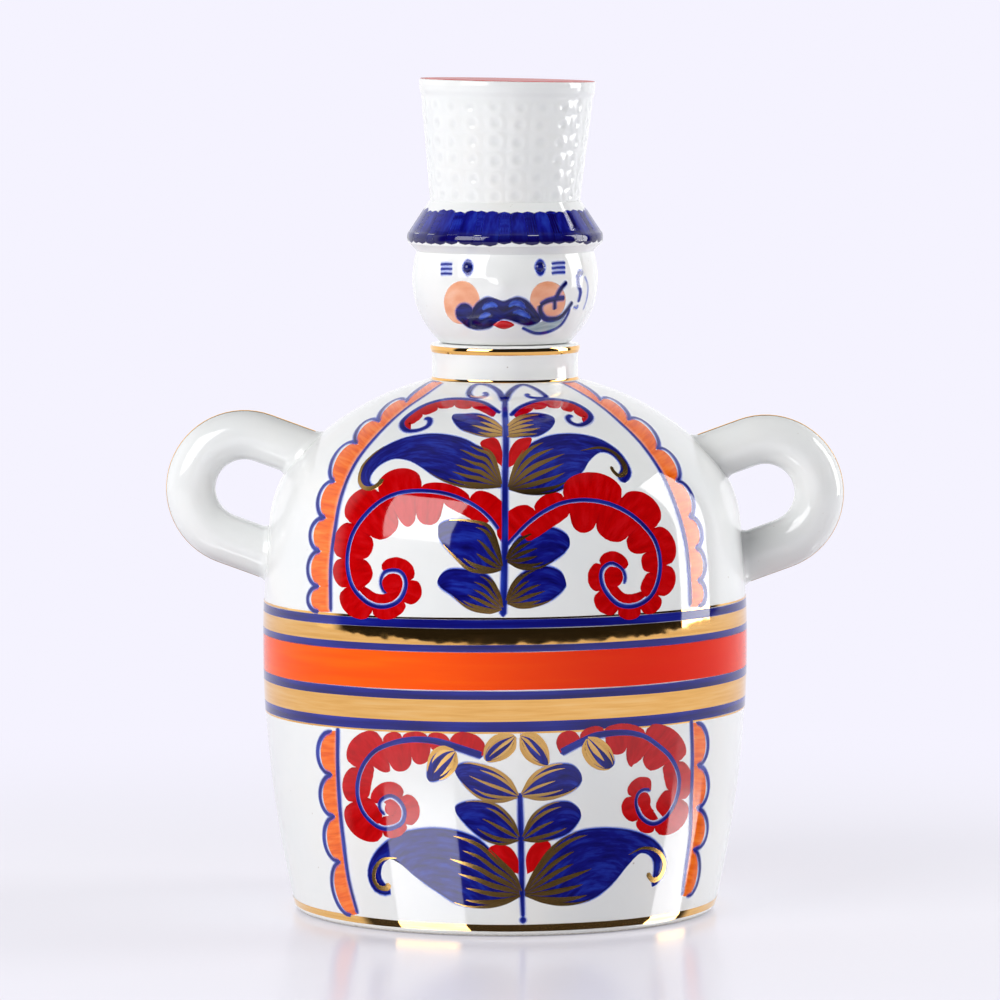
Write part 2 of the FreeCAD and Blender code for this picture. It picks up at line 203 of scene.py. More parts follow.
def head_skin():
    """The outside of the head and the brim, from the seat to the hat's foot."""
    center = (HEAD_RADIUS - HEAD_ARC, SEAT + HEAD_WIDEST)
    reach = HEAD_ARC - PAINT_ROOM
    low = -math.asin(HEAD_WIDEST / HEAD_ARC)
    high = math.asin((BRIM_UNDER - HEAD_WIDEST) / HEAD_ARC)
    face = arc(center, reach, low, high, 48)
    lip = BRIM_RADIUS - BRIM_BULGE
    rounding = [
        (lip - PAINT_ROOM + BRIM_BULGE * math.sin(a), SEAT + BRIM_LOW + BRIM_THICK * (1 - math.cos(a)) / 2)
        for a in np.linspace(0, math.pi, 9)
    ]
    foot, top = np.array(rounding[-1]), np.array((HAT_FOOT_RADIUS - PAINT_ROOM, HAT_FOOT))
    slope = [tuple(foot + (top - foot) * share) for share in np.linspace(0.1, 1, 10)]
    return face + rounding + slope


def head_section():
    center = (HEAD_RADIUS - HEAD_ARC, SEAT + HEAD_WIDEST)
    reach = HEAD_ARC - HEAD_WALL
    high = math.asin((BRIM_UNDER - HEAD_WIDEST) / reach)
    low = math.asin((HEAD_FLOOR - HEAD_WIDEST) / reach)
    top = (HAT_FOOT_RADIUS - HAT_WALL, HAT_FOOT)
    inside = arc(center, reach, high, low, 16)
    return [(PLUG_BORE, SEAT), *head_skin(), top, *inside, (PLUG_BORE, SEAT + HEAD_FLOOR)]


# Surfaces of revolution, read by the angle from the front and the length along the outline

def sight(pixels):
    """The direction of view through each pixel."""
    forward = (CAMERA_AIM - CAMERA_PLACE) / np.linalg.norm(CAMERA_AIM - CAMERA_PLACE)
    right = np.cross(forward, (0, 0, 1))
    right /= np.linalg.norm(right)
    up = np.cross(right, forward)
    across = (pixels[:, 0:1] - FRAME_SIZE / 2) / FOCAL
    rise = (FRAME_SIZE / 2 - pixels[:, 1:2]) / FOCAL
    return forward + across * right + rise * up


HIT_STEPS = 90


class Turned:
    """A surface turned about the axis. halves are the turns at which its paint is repeated."""

    def __init__(self, outline, halves=(0.0,)):
        self.r, self.z = np.array(outline, float).T
        step = np.hypot(np.diff(self.r), np.diff(self.z))
        self.s = np.concatenate(([0.0], np.cumsum(step)))
        along_r, along_z = np.gradient(self.r, self.s), np.gradient(self.z, self.s)
        size = np.hypot(along_r, along_z)
        self.normal_r, self.normal_z = along_z / size, -along_r / size
        self.halves = halves

    def radius(self, s):
        return np.interp(s, self.s, self.r)

    def length_at(self, z):
        return np.interp(z, self.z, self.s)

    def at(self, turn, s, lift):
        r = self.radius(s) + lift * np.interp(s, self.s, self.normal_r)
        z = np.interp(s, self.s, self.z) + lift * np.interp(s, self.s, self.normal_z)
        return np.stack((r * np.sin(turn), -r * np.cos(turn), z), axis=-1)

    def hit(self, pixels):
        """Angle and length where the view through each pixel meets the surface."""
        ray = sight(np.asarray(pixels, float))
        reach = np.full(len(ray), -CAMERA_PLACE[1] - 1.6 * self.r.max())
        for _ in range(HIT_STEPS):
            place = CAMERA_PLACE + ray * reach[:, None]
            gap = np.hypot(place[:, 0], place[:, 1]) - np.interp(place[:, 2], self.z, self.r)
            reach += 0.5 * gap
        return np.arctan2(place[:, 0], -place[:, 1]), self.length_at(place[:, 2])


vessel_skin = Turned(skin_outline(), halves=(0.0, math.pi))
vessel_ring = Turned(skin_outline())
collar_skin = Turned(collar_outline())
face_skin = Turned(head_skin())


# Meshes

WELD = 0.002 * MM
SLIVER = 0.001 * MM
SMOOTH = 80.0


def make_piece(name, points, faces, material, body, slot, sharp=40.0, attributes=None):
    """A piece that rides on a body. Edges over the angle sharp are hard, unless it brings its normals."""
    mesh = bpy.data.meshes.new(name)
    mesh.from_pydata((np.asarray(points) * MM).tolist(), [], faces)
    for label, (kind, values) in (attributes or {}).items():
        layer = mesh.attributes.new(label, kind, "POINT")
        layer.data.foreach_set("vector" if kind == "FLOAT_VECTOR" else "value", np.ravel(values))
    shape = bmesh.new()
    shape.from_mesh(mesh)
    bmesh.ops.remove_doubles(shape, verts=shape.verts, dist=WELD)
    bmesh.ops.dissolve_degenerate(shape, edges=shape.edges, dist=SLIVER)
    shape.to_mesh(mesh)
    shape.free()
    mesh.shade_smooth()
    if attributes and "outward" in attributes:
        outward = np.zeros(3 * len(mesh.vertices))
        mesh.attributes["outward"].data.foreach_get("vector", outward)
        mesh.normals_split_custom_set_from_vertices(outward.reshape(-1, 3))
    else:
        mesh.set_sharp_from_angle(angle=math.radians(sharp))
    mesh.materials.append(material)
    piece = bpy.data.objects.new(name, mesh)
    bpy.context.scene.collection.objects.link(piece)
    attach(piece, body)
    return piece


def turned_mesh(section, sides):
    """Points and faces of a closed section turned about the axis. Points on the axis become poles."""
    turns = np.arange(sides) * 2 * math.pi / sides
    points, rows = [], []
    for r, z in section:
        start = len(points)
        if r < 1e-6:
            points.append((0.0, 0.0, z))
            rows.append([start] * sides)
        else:
            points += [(r * math.sin(a), -r * math.cos(a), z) for a in turns]
            rows.append(list(range(start, start + sides)))
    faces = []
    for k, row in enumerate(rows):
        following = rows[(k + 1) % len(rows)]
        if row[0] == row[1] and following[0] == following[1]:
            continue
        for i in range(sides):
            j = (i + 1) % sides
            corners = [row[i], row[j], following[j], following[i]]
            faces.append([c for n, c in enumerate(corners) if c not in corners[:n]])
    return np.array(points), faces


# Paint: coats a few hundredths of a millimetre thick, each of one colour, gathered into one mesh

EDGE_LIFT = 0.01
SOFT_COBALT = 0.7
SOFT_CORE = 0.8
SPAN_STEPS = 24
BLOB_SIDES = 28
RING_SIDES = 320
RING_COLUMNS = 5
LOBE_POINTS = 21
LOBE_COLUMNS = 9
PIXEL_SIZE = 0.27


def even(points, count, after=None):
    """Points at even steps along a smooth curve through the given points. after is a point past its end."""
    points = np.array(points, float)
    after = 2 * points[-1] - points[-2] if after is None else after
    path = np.vstack((2 * points[0] - points[1], points, after))
    t = np.linspace(0, 1, SPAN_STEPS, endpoint=False)[:, None]
    fine = []
    for a, b, c, d in zip(path[:-3], path[1:-2], path[2:-1], path[3:]):
        bend = 2 * b + (c - a) * t + (2 * a - 5 * b + 4 * c - d) * t ** 2
        fine.append((bend + (3 * b - a - 3 * c + d) * t ** 3) / 2)
    fine = np.vstack(fine + [points[-1:]])
    length = np.concatenate(([0.0], np.cumsum(np.hypot(*np.diff(fine, axis=0).T))))
    steps = np.linspace(0, length[-1], count)
    return np.column_stack([np.interp(steps, length, fine[:, k]) for k in (0, 1)])


def with_borders(columns):
    """Shares of the way across a coat, with its border's two points at the ends."""
    return np.concatenate(([0.0], np.linspace(0, 1, columns), [1.0]))


class Paint:
    """Coats of one colour on one surface. Each point keeps its place along and across its brush stroke, how
    far inside the outline it lies and how deep the colour is there. edge is the width of the soft border."""

    def __init__(self, surface, lift, edge=0.06):
        self.surface, self.lift, self.edge = surface, lift, edge
        self.points, self.faces, self.brush, self.rim, self.deep, self.outward = [], [], [], [], [], []
        self.count = 0

    def coat(self, turn, s, along, across, rim, closed=False, centered=False, bulge=0.0, deep=0.0):
        """A grid of points whose border lies close to the surface. closed joins the last row to the first,
        and centered makes the first column one point in the middle. A coat that bulges takes its normals
        from its form, and the others from the surface."""
        rows, columns = turn.shape
        lift = np.full(turn.shape, self.lift) + bulge
        lift[:, -1] = EDGE_LIFT
        if not centered:
            lift[:, 0] = EDGE_LIFT
        if not closed:
            lift[0] = lift[-1] = EDGE_LIFT
        seed = np.full(turn.shape, RANDOM.uniform(0, 40))
        turn_down, turn_over = np.gradient(turn)
        s_down, s_over = np.gradient(s)
        outward = np.sum(turn_over * s_down - s_over * turn_down) > 0
        flat = 1.0 if np.max(bulge) == 0 else 0.0
        for half in self.surface.halves:
            points = self.surface.at(turn + half, s, lift)
            self.points.append(points.reshape(-1, 3))
            self.outward.append(flat * (self.surface.at(turn + half, s, lift + 1) - points).reshape(-1, 3))
            self.brush.append(np.stack((along, across, seed), axis=-1).reshape(-1, 3))
            self.rim.append(rim.ravel())
            self.deep.append((deep + np.zeros(turn.shape)).ravel())
            for i in range(rows if closed else rows - 1):
                for j in range(columns - 1):
                    a = self.count + i * columns + j
                    b = self.count + (i + 1) % rows * columns + j
                    self.faces.append((a, a + 1, b + 1, b) if outward else (b, b + 1, a + 1, a))
            self.count += rows * columns

    def piece(self, name, material, body, slot):
        attributes = {
            "brush": ("FLOAT_VECTOR", np.vstack(self.brush)),
            "rim": ("FLOAT", np.concatenate(self.rim)),
            "deep": ("FLOAT", np.concatenate(self.deep)),
            "outward": ("FLOAT_VECTOR", np.vstack(self.outward)),
        }
        points = np.vstack(self.points)
        coat = make_piece(name, points, self.faces, material, body, slot, SMOOTH, attributes)
        coat.visible_shadow = False


def stroke(paint, points, widths, count=40):
    """A brush line along points. Its width, in millimetres, changes evenly from one value to the next. A
    line with a soft cobalt border has a narrower core."""
    surface = paint.surface
    turn, s = surface.hit(even(points, count))
    r = surface.radius(s)
    run, rise = np.gradient(turn) * r, np.gradient(s)
    size = np.hypot(run, rise)
    length = np.concatenate(([0.0], np.cumsum((size[1:] + size[:-1]) / 2)))
    half = np.interp(length / length[-1], np.linspace(0, 1, len(widths)), widths) / 2
    half *= SOFT_CORE if paint.edge == SOFT_COBALT else 1.0
    tip = np.clip(np.minimum(length, length[-1] - length) / half, 0, 1)
    half = half * np.sqrt(1 - (1 - tip) ** 2)
    columns = np.array((-1, -1, -0.55, 0, 0.55, 1, 1))
    beyond = np.array((-1, 0, 0, 0, 0, 0, 1)) * paint.edge
    offset = half[:, None] * columns + beyond
    turn_grid = turn[:, None] - offset * (rise / size / r)[:, None]
    s_grid = s[:, None] + offset * (run / size)[:, None]
    along = np.repeat(length[:, None], len(columns), axis=1)
    paint.coat(turn_grid, s_grid, along, offset, half[:, None] - np.abs(offset))


def fill_on(paint, first, second, columns=11, swap=False, bulge=0.0, deep=0.0):
    """A coat between two lines of equal count, each given as angles and lengths. swap makes the brush go
    from line to line, and bulge raises the middle."""
    surface = paint.surface
    turn_a, s_a = first
    turn_b, s_b = second
    r = surface.radius((s_a + s_b) / 2)
    wide = (turn_b - turn_a) * r
    tall = s_b - s_a
    size = np.maximum(np.hypot(wide, tall), 1e-4)
    place = with_borders(columns)
    beyond = np.concatenate(([-paint.edge], np.zeros(columns), [paint.edge]))
    across = size[:, None] * place + beyond
    turn = turn_a[:, None] + across * (wide / size / r)[:, None]
    s = s_a[:, None] + across * (tall / size)[:, None]
    middle_turn, middle_s = (turn_a + turn_b) / 2, (s_a + s_b) / 2
    step = np.hypot(np.diff(middle_turn) * r[1:], np.diff(middle_s))
    length = np.concatenate(([0.0], np.cumsum(step)))
    along = np.repeat(length[:, None], across.shape[1], axis=1)
    rim = np.minimum(across, size[:, None] - across)
    crown = bulge * np.clip(4 * place * (1 - place), 0, 1)[None, :] * np.ones_like(across)
    if swap:
        along, across = across, along
    paint.coat(turn, s, along, across, rim, bulge=crown, deep=deep)


def fill(paint, first, second, count=44, bulge=0.0):
    """A coat between two smooth lines through pixels, which end at the same point."""
    first, second = even(first, count, second[-2]), even(second, count, first[-2])
    fill_on(paint, paint.surface.hit(first), paint.surface.hit(second), bulge=bulge)


def along_rib(rib, first, last, count):
    """Points and sideways directions on part of a rib, which is given as many even points."""
    place = np.linspace(first, last, count) * (len(rib) - 1)
    index = np.arange(len(rib))
    points = np.column_stack([np.interp(place, index, rib[:, k]) for k in (0, 1)])
    ahead = np.column_stack([np.interp(place, index, np.gradient(rib[:, k])) for k in (0, 1)])
    ahead /= np.linalg.norm(ahead, axis=1)[:, None]
    return points, np.column_stack((-ahead[:, 1], ahead[:, 0]))


def lobe_line(rib, first, last, reach, waist, side, gap=0.0):
    """The foot, a gap away from a rib, and the round outer line of one lobe that stands there."""
    foot, aside = along_rib(rib, first, last, LOBE_POINTS)
    x = np.linspace(-1, 1, LOBE_POINTS)
    swell = waist + (1 - waist) * np.sqrt(np.clip(1 - x ** 2, 0, 1))
    return foot + aside * (side * gap), foot + aside * (side * reach * swell)[:, None]


def lobes(paint, rib, cuts, reaches, side, waist=0.36, start_deep=1.0, rest_deep=0.0, gap=0.0):
    """Round lobes in a row along one side of a rib. The colour is deeper where a lobe starts."""
    feet, outers, depths = [], [], []
    x = np.linspace(-1, 1, LOBE_POINTS)
    for first, last, reach in zip(cuts[:-1], cuts[1:], reaches):
        foot, outer = lobe_line(rib, first, last, reach, waist, side, gap)
        feet.append(foot)
        outers.append(outer)
        depths.append(rest_deep + (start_deep - rest_deep) * np.clip((-0.5 - x) / 0.5, 0, 1))
    feet, outers = paint.surface.hit(np.vstack(feet)), paint.surface.hit(np.vstack(outers))
    deep = np.concatenate(depths)[:, None] * with_borders(LOBE_COLUMNS)
    fill_on(paint, feet, outers, LOBE_COLUMNS, swap=True, deep=deep)


def blob(paint, center, size, bulge=0.0):
    """A round dab: its center and its half width and half height in pixels."""
    share = np.array((0.0, 0.25, 0.5, 0.72, 0.88, 1.0, 1.0))
    turns = np.linspace(0, 2 * math.pi, BLOB_SIDES, endpoint=False)
    reach_x = size[0] * share[None, :] * np.cos(turns)[:, None]
    reach_y = size[1] * share[None, :] * np.sin(turns)[:, None]
    pixels = np.stack((center[0] + reach_x, center[1] + reach_y), axis=-1)
    turn, s = paint.surface.hit(pixels.reshape(-1, 2))
    turn, s = turn.reshape(reach_x.shape), s.reshape(reach_x.shape)
    border = np.arange(len(share)) == len(share) - 1
    grow = 1 + paint.edge / (PIXEL_SIZE * min(size)) * border
    turn = turn[:, :1] + (turn - turn[:, :1]) * grow
    s = s[:, :1] + (s - s[:, :1]) * grow
    r = paint.surface.radius(s)
    along, across = (turn - turn[:, :1]) * r, s - s[:, :1]
    reach = np.hypot(along, across)
    rim = reach[:, -2:-1] - reach
    lift = bulge * np.sqrt(np.clip(1 - share ** 2, 0, 1))[None, :] * np.ones_like(rim)
    paint.coat(turn, s, along, across, rim, closed=True, centered=True, bulge=lift)


def ring(paint, low, high, tilt=0.0, sag=0.0, wobble=0.06):
    """A painted band right round, between two heights. tilt lifts its right end, sag lowers its front and
    back, and the colour is deeper on the right of each half."""
    surface = paint.surface
    turns = np.arange(RING_SIDES) * 2 * math.pi / RING_SIDES
    phase = [RANDOM.uniform(0, 6.28) for _ in range(4)]
    sway = tilt * np.sin(turns) - sag * np.cos(turns) ** 2
    low_wave = wobble * np.sin(5 * turns + phase[0]) * np.sin(3 * turns + phase[1])
    high_wave = wobble * np.sin(4 * turns + phase[2]) * np.sin(7 * turns + phase[3])
    low_s = surface.length_at(low + sway) + low_wave
    high_s = surface.length_at(high + sway) + high_wave
    beyond = np.concatenate(([-paint.edge], np.zeros(RING_COLUMNS), [paint.edge]))
    s = low_s[:, None] + (high_s - low_s)[:, None] * with_borders(RING_COLUMNS) + beyond
    turn = np.repeat(turns[:, None], s.shape[1], axis=1)
    round_trip = np.abs(turn - math.pi) * surface.radius(s)
    rim = np.minimum(s - low_s[:, None], high_s[:, None] - s)
    paint.coat(turn, s, round_trip, s - low_s[:, None], rim, closed=True, deep=(1 + np.sin(2 * turn)) / 2)


# Materials

def node(tree, kind, inputs=None, **settings):
    made = tree.nodes.new(kind)
    for name, value in settings.items():
        setattr(made, name, value)
    for key, value in (inputs or {}).items():
        if isinstance(value, bpy.types.NodeSocket):
            tree.links.new(value, made.inputs[key])
        else:
            made.inputs[key].default_value = value
    return made


def new_material(name):
    material = bpy.data.materials.new(name)
    material.use_nodes = True
    material.node_tree.nodes.clear()
    return material, material.node_tree


def finish_material(tree, shader):
    node(tree, "ShaderNodeOutputMaterial", {"Surface": shader.outputs[0]})


def color(r, g, b):
    return (r, g, b, 1.0)


def mix(tree, factor, first, second):
    made = node(tree, "ShaderNodeMix", {0: factor, 6: first, 7: second}, data_type="RGBA")
    return made.outputs[2]


def mix_shaders(tree, factor, first, second):
    return node(tree, "ShaderNodeMixShader", {0: factor, 1: first.outputs[0], 2: second.outputs[0]})


def ramp(tree, factor, stops):
    made = node(tree, "ShaderNodeValToRGB", {"Fac": factor})
    points = made.color_ramp.elements
    while len(points) < len(stops):
        points.new(0.5)
    for point, (place, shade) in zip(points, stops):
        point.position = place
        point.color = shade
    return made.outputs["Color"]


def noise(tree, vector, scale, detail=3.0):
    return node(tree, "ShaderNodeTexNoise", {
        "Vector": vector, "Scale": scale, "Detail": detail, "Roughness": 0.55}).outputs["Fac"]


def span(tree, value, low, high, start=0.0, end=1.0):
    return node(tree, "ShaderNodeMapRange", {
        "Value": value, "From Min": low, "From Max": high, "To Min": start, "To Max": end},
        interpolation_type="SMOOTHSTEP").outputs["Result"]


def math_node(tree, operation, first, second):
    return node(tree, "ShaderNodeMath", {0: first, 1: second}, operation=operation).outputs[0]


def attribute(tree, name):
    return node(tree, "ShaderNodeAttribute", attribute_name=name)


def glaze_wave(tree):
    """The slightly uneven surface of the glaze."""
    place = node(tree, "ShaderNodeTexCoord").outputs["Object"]
    wave = noise(tree, place, 60.0, 2.0)
    return node(tree, "ShaderNodeBump", {"Height": wave, "Strength": 0.06, "Distance": 0.001}).outputs[0]


def glazed(tree, shade, gloss=0.5, rough=0.05):
    return node(tree, "ShaderNodeBsdfPrincipled", {
        "Base Color": shade, "Roughness": rough, "IOR": 1.5, "Specular IOR Level": gloss,
        "Normal": glaze_wave(tree)})


WHITE = color(0.85, 0.86, 0.85)
FOOT_BARE = 0.5 * MM
FOOT_GLAZED = 0.9 * MM
STROKE_STEP = 7.3


def porcelain_material(name, foot=False, shade_hollows=False):
    """White body under a clear glaze: faint clouds of colour, a few specks, a bare foot on the vessel and,
    on the hat, painted shade that greys its dimples and the hollows between its rings of fleece."""
    material, tree = new_material(name)
    place = node(tree, "ShaderNodeTexCoord").outputs["Object"]
    clouds = noise(tree, place, 34.0, 4.0)
    body = ramp(tree, clouds, [
        (0.3, color(0.82, 0.84, 0.84)), (0.55, WHITE), (0.75, color(0.87, 0.865, 0.84))])
    specks = noise(tree, place, 900.0, 1.0)
    shade = mix(tree, span(tree, specks, 0.80, 0.84), body, color(0.55, 0.5, 0.45))
    if shade_hollows:
        # Painted shade: the hat's dimples and the hollows between its fleece rings are greyed as if in
        # shadow.
        hollow_shade = span(tree, attribute(tree, "hollow_shade").outputs["Fac"], 0.0, 1.0, 0.0, 0.3)
        shade = mix(tree, hollow_shade, shade, color(0.66, 0.68, 0.69))
    shader = glazed(tree, shade)
    if foot:
        height = node(tree, "ShaderNodeSeparateXYZ", {"Vector": place}).outputs["Z"]
        bare = span(tree, height, FOOT_GLAZED, FOOT_BARE)
        grain = ramp(tree, noise(tree, place, 1400.0, 2.0), [
            (0.35, color(0.60, 0.57, 0.52)), (0.65, color(0.78, 0.76, 0.71))])
        biscuit = node(tree, "ShaderNodeBsdfPrincipled", {"Base Color": grain, "Roughness": 0.85})
        shader = mix_shaders(tree, bare, shader, biscuit)
    finish_material(tree, shader)
    return material


def brush_streaks(tree, along, across):
    """Streaks along the brush stroke, one pattern per stroke."""
    scaled = node(tree, "ShaderNodeVectorMath", {
        0: attribute(tree, "brush").outputs["Vector"], 1: (along, across, STROKE_STEP)},
        operation="MULTIPLY")
    return noise(tree, scaled.outputs[0], 1.0)


def enamel_material(
        name, stops, along=0.16, across=1.1, rim_color=None, rim_width=0.4, soft=(-0.06, 0.05), halo=None,
        halo_span=(0.22, -0.2), deep_color=None, deep_span=(0.2, 1.0), bare=None, gloss=0.48, rough=0.05):
    """Brushed paint. stops colour the streaks, rim_color gathers along the outline, soft is where the
    outline thins out, halo is its colour there, deep_color goes where the coat is deep, and bare is where
    the streaks let the white through."""
    material, tree = new_material(name)
    streaks = brush_streaks(tree, along, across)
    shade = ramp(tree, streaks, stops)
    if deep_color:
        shade = mix(tree, span(tree, attribute(tree, "deep").outputs["Fac"], *deep_span), shade, deep_color)
    uneven = span(tree, streaks, 0.3, 0.7, -0.05, 0.05)
    ragged = math_node(tree, "ADD", attribute(tree, "rim").outputs["Fac"], uneven)
    if rim_color:
        shade = mix(tree, span(tree, ragged, rim_width, 0.0), shade, rim_color)
    if halo:
        shade = mix(tree, span(tree, ragged, *halo_span), shade, halo)
    cover = span(tree, ragged, *soft)
    if bare:
        cover = math_node(tree, "MULTIPLY", cover, span(tree, streaks, *bare, 1.0, 0.15))
    clear = node(tree, "ShaderNodeBsdfTransparent")
    finish_material(tree, mix_shaders(tree, cover, clear, glazed(tree, shade, gloss, rough)))
    return material


def gold_material(name, stops, rough):
    """Gold lustre: faint brush marks and a slightly uneven surface."""
    material, tree = new_material(name)
    place = node(tree, "ShaderNodeTexCoord").outputs["Object"]
    shade = ramp(tree, brush_streaks(tree, 0.06, 0.9), stops)
    wave = noise(tree, place, 120.0, 2.0)
    bump = node(tree, "ShaderNodeBump", {"Height": wave, "Strength": 0.05, "Distance": 0.0006})
    metal = node(tree, "ShaderNodeBsdfPrincipled", {
        "Base Color": shade, "Metallic": 1.0, "Normal": bump.outputs[0], "Roughness": rough})
    cover = span(tree, attribute(tree, "rim").outputs["Fac"], -0.05, 0.01)
    finish_material(tree, mix_shaders(tree, cover, node(tree, "ShaderNodeBsdfTransparent"), metal))
    return material


def cork_material():
    """Ground cork: pale grains with dark pores."""
    material, tree = new_material("cork")
    place = node(tree, "ShaderNodeTexCoord").outputs["Object"]
    grains = node(tree, "ShaderNodeTexVoronoi", {"Vector": place, "Scale": 700.0})
    tone = node(tree, "ShaderNodeSeparateColor", {0: grains.outputs["Color"]}).outputs[0]
    shade = ramp(tree, tone, [
        (0.1, color(0.38, 0.22, 0.10)), (0.5, color(0.55, 0.36, 0.18)), (0.9, color(0.66, 0.47, 0.27))])
    pores = span(tree, noise(tree, place, 420.0, 3.0), 0.62, 0.70)
    shade = mix(tree, pores, shade, color(0.12, 0.06, 0.03))
    bump = node(tree, "ShaderNodeBump", {
        "Height": grains.outputs["Distance"], "Strength": 0.4, "Distance": 0.0005})
    finish_material(tree, node(tree, "ShaderNodeBsdfPrincipled", {
        "Base Color": shade, "Roughness": 0.85, "Normal": bump.outputs[0]}))
    return material


COBALT_DARK = color(0.003, 0.002, 0.085)
COBALT_HALO = color(0.02, 0.10, 0.72)

porcelain = porcelain_material("porcelain")
footed_porcelain = porcelain_material("footed_porcelain", foot=True)
fleece_porcelain = porcelain_material("fleece_porcelain", shade_hollows=True)
cobalt = enamel_material("cobalt_leaf", [
    (0.28, COBALT_DARK), (0.50, color(0.006, 0.007, 0.20)), (0.78, color(0.016, 0.04, 0.40))],
    across=0.7, rim_color=COBALT_DARK, rim_width=0.9, soft=(-SOFT_COBALT, 0.2), halo=COBALT_HALO,
    deep_color=color(0.003, 0.001, 0.06))
cobalt_dark = enamel_material("cobalt_dark", [
    (0.30, color(0.001, 0.0, 0.035)), (0.5, color(0.002, 0.002, 0.08)), (0.75, color(0.008, 0.016, 0.22))],
    across=0.7, soft=(-SOFT_COBALT, 0.2), halo=COBALT_HALO, halo_span=(0.05, -0.3))
cobalt_line = enamel_material("cobalt_line", [
    (0.30, color(0.003, 0.003, 0.11)), (0.5, color(0.006, 0.012, 0.22)), (0.75, color(0.018, 0.045, 0.40))],
    along=0.08, across=0.6, soft=(-SOFT_COBALT, 0.2), halo=COBALT_HALO, halo_span=(0.06, -0.3))
brim_cobalt = enamel_material("cobalt_brim", [
    (0.28, color(0.003, 0.002, 0.10)), (0.50, color(0.008, 0.010, 0.25)), (0.78, color(0.02, 0.05, 0.44))],
    across=0.5, soft=(-0.4, 0.3), deep_color=color(0.004, 0.001, 0.07), deep_span=(0.45, 1.0))
belt_cobalt_paint = enamel_material("cobalt_belt", [
    (0.30, color(0.004, 0.003, 0.11)), (0.5, color(0.006, 0.008, 0.20)), (0.75, color(0.018, 0.03, 0.34))],
    along=0.03, across=0.5, soft=(-0.2, 0.2))
cobalt_pale = enamel_material("cobalt_pale", [
    (0.30, color(0.015, 0.035, 0.34)), (0.5, color(0.04, 0.10, 0.55)), (0.75, color(0.13, 0.24, 0.80))],
    along=0.3, across=1.2, soft=(-SOFT_COBALT, 0.6))
red = enamel_material("red_enamel", [
    (0.25, color(0.40, 0.0, 0.001)), (0.48, color(0.52, 0.0, 0.001)), (0.8, color(0.62, 0.006, 0.010))],
    along=0.16, across=0.6, deep_color=color(0.28, 0.0, 0.003), deep_span=(0.1, 1.4), bare=(0.78, 0.9))
orange = enamel_material("orange_lobes", [
    (0.28, color(0.76, 0.09, 0.002)), (0.5, color(0.92, 0.15, 0.004)), (0.75, color(0.98, 0.25, 0.03))],
    along=0.12, across=0.9, deep_color=color(0.95, 0.55, 0.36), deep_span=(0.3, -0.15), bare=(0.74, 0.9))
belt_orange = enamel_material("orange_enamel", [
    (0.3, color(0.96, 0.08, 0.0)), (0.5, color(0.98, 0.10, 0.0)), (0.7, color(1.0, 0.13, 0.0))],
    along=0.02, across=0.3, deep_color=color(0.80, 0.012, 0.0), deep_span=(0.0, 1.2), gloss=0.13)
salmon = enamel_material("salmon_enamel", [
    (0.3, color(0.80, 0.33, 0.18)), (0.5, color(0.85, 0.40, 0.24)), (0.7, color(0.88, 0.50, 0.34))],
    along=0.2, across=0.3, soft=(-0.06, 0.3))
crown_red = enamel_material("crown_enamel", [
    (0.3, color(0.55, 0.02, 0.015)), (0.5, color(0.66, 0.05, 0.04)), (0.7, color(0.74, 0.10, 0.08))],
    gloss=0.1, rough=0.3)
wash = enamel_material("grey_wash", [
    (0.3, color(0.28, 0.36, 0.40)), (0.5, color(0.36, 0.45, 0.48)), (0.7, color(0.50, 0.58, 0.60))],
    soft=(-0.06, 0.8))
gold = gold_material("gold_lustre", [
    (0.25, color(0.78, 0.42, 0.11)), (0.5, color(0.88, 0.50, 0.15)), (0.78, color(0.92, 0.58, 0.22))], 0.03)
vein_gold = gold_material("gold_veins", [
    (0.25, color(0.62, 0.35, 0.10)), (0.5, color(0.74, 0.44, 0.14)), (0.78, color(0.86, 0.55, 0.21))], 0.2)
cork = cork_material()


# The vessel, the collar and the stopper's inner pieces

vessel_mesh = turned_mesh(vessel_section(), 256)
vessel = make_piece("vessel", *vessel_mesh, footed_porcelain, "decanter", "porcelain")
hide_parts("body_shell")

collar_section = [
    (NECK_BORE, NECK_HEIGHT), *collar_outline(), (NECK_BORE + BORE_EDGE, COLLAR_TOP),
    (NECK_BORE, COLLAR_TOP - BORE_EDGE),
]
collar = make_piece("collar", *turned_mesh(collar_section, 192), porcelain, "decanter", "porcelain")
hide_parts("neck_collar")

plug_section = [
    (PLUG_BORE, PLUG_LOW + 0.4), (PLUG_BORE + 0.5, PLUG_LOW), (PLUG_RADIUS - 0.3, PLUG_LOW),
    (PLUG_RADIUS + 1.0, PLUG_LOW + 1.5), (PLUG_RADIUS + 1.25, PLUG_LOW + 1.8),
    (PLUG_RADIUS + 1.0, PLUG_LOW + 2.0), (PLUG_RADIUS, PLUG_LOW + 2.0), (PLUG_RADIUS, SEAT),
    (PLUG_BORE, SEAT),
]
plug = make_piece("plug", *turned_mesh(plug_section, 128), porcelain, "stopper", "porcelain")
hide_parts("stopper_plug")

cork_section = [
    (PLUG_RADIUS + CORK_ROOM, CORK_LOW), (CORK_RADIUS - 1.0, CORK_LOW), (CORK_RADIUS - 0.3, CORK_LOW + 0.5),
    (CORK_RADIUS, CORK_LOW + 1.2), (CORK_RADIUS, CORK_TOP - 0.4), (CORK_RADIUS - 0.4, CORK_TOP),
    (PLUG_RADIUS + CORK_ROOM, CORK_TOP),
]
sleeve = make_piece("cork_sleeve_turned", *turned_mesh(cork_section, 128), cork, "seal", "cork")
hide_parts("cork_sleeve")


# The arms: a round bar bent to a hairpin, blended onto the shoulder

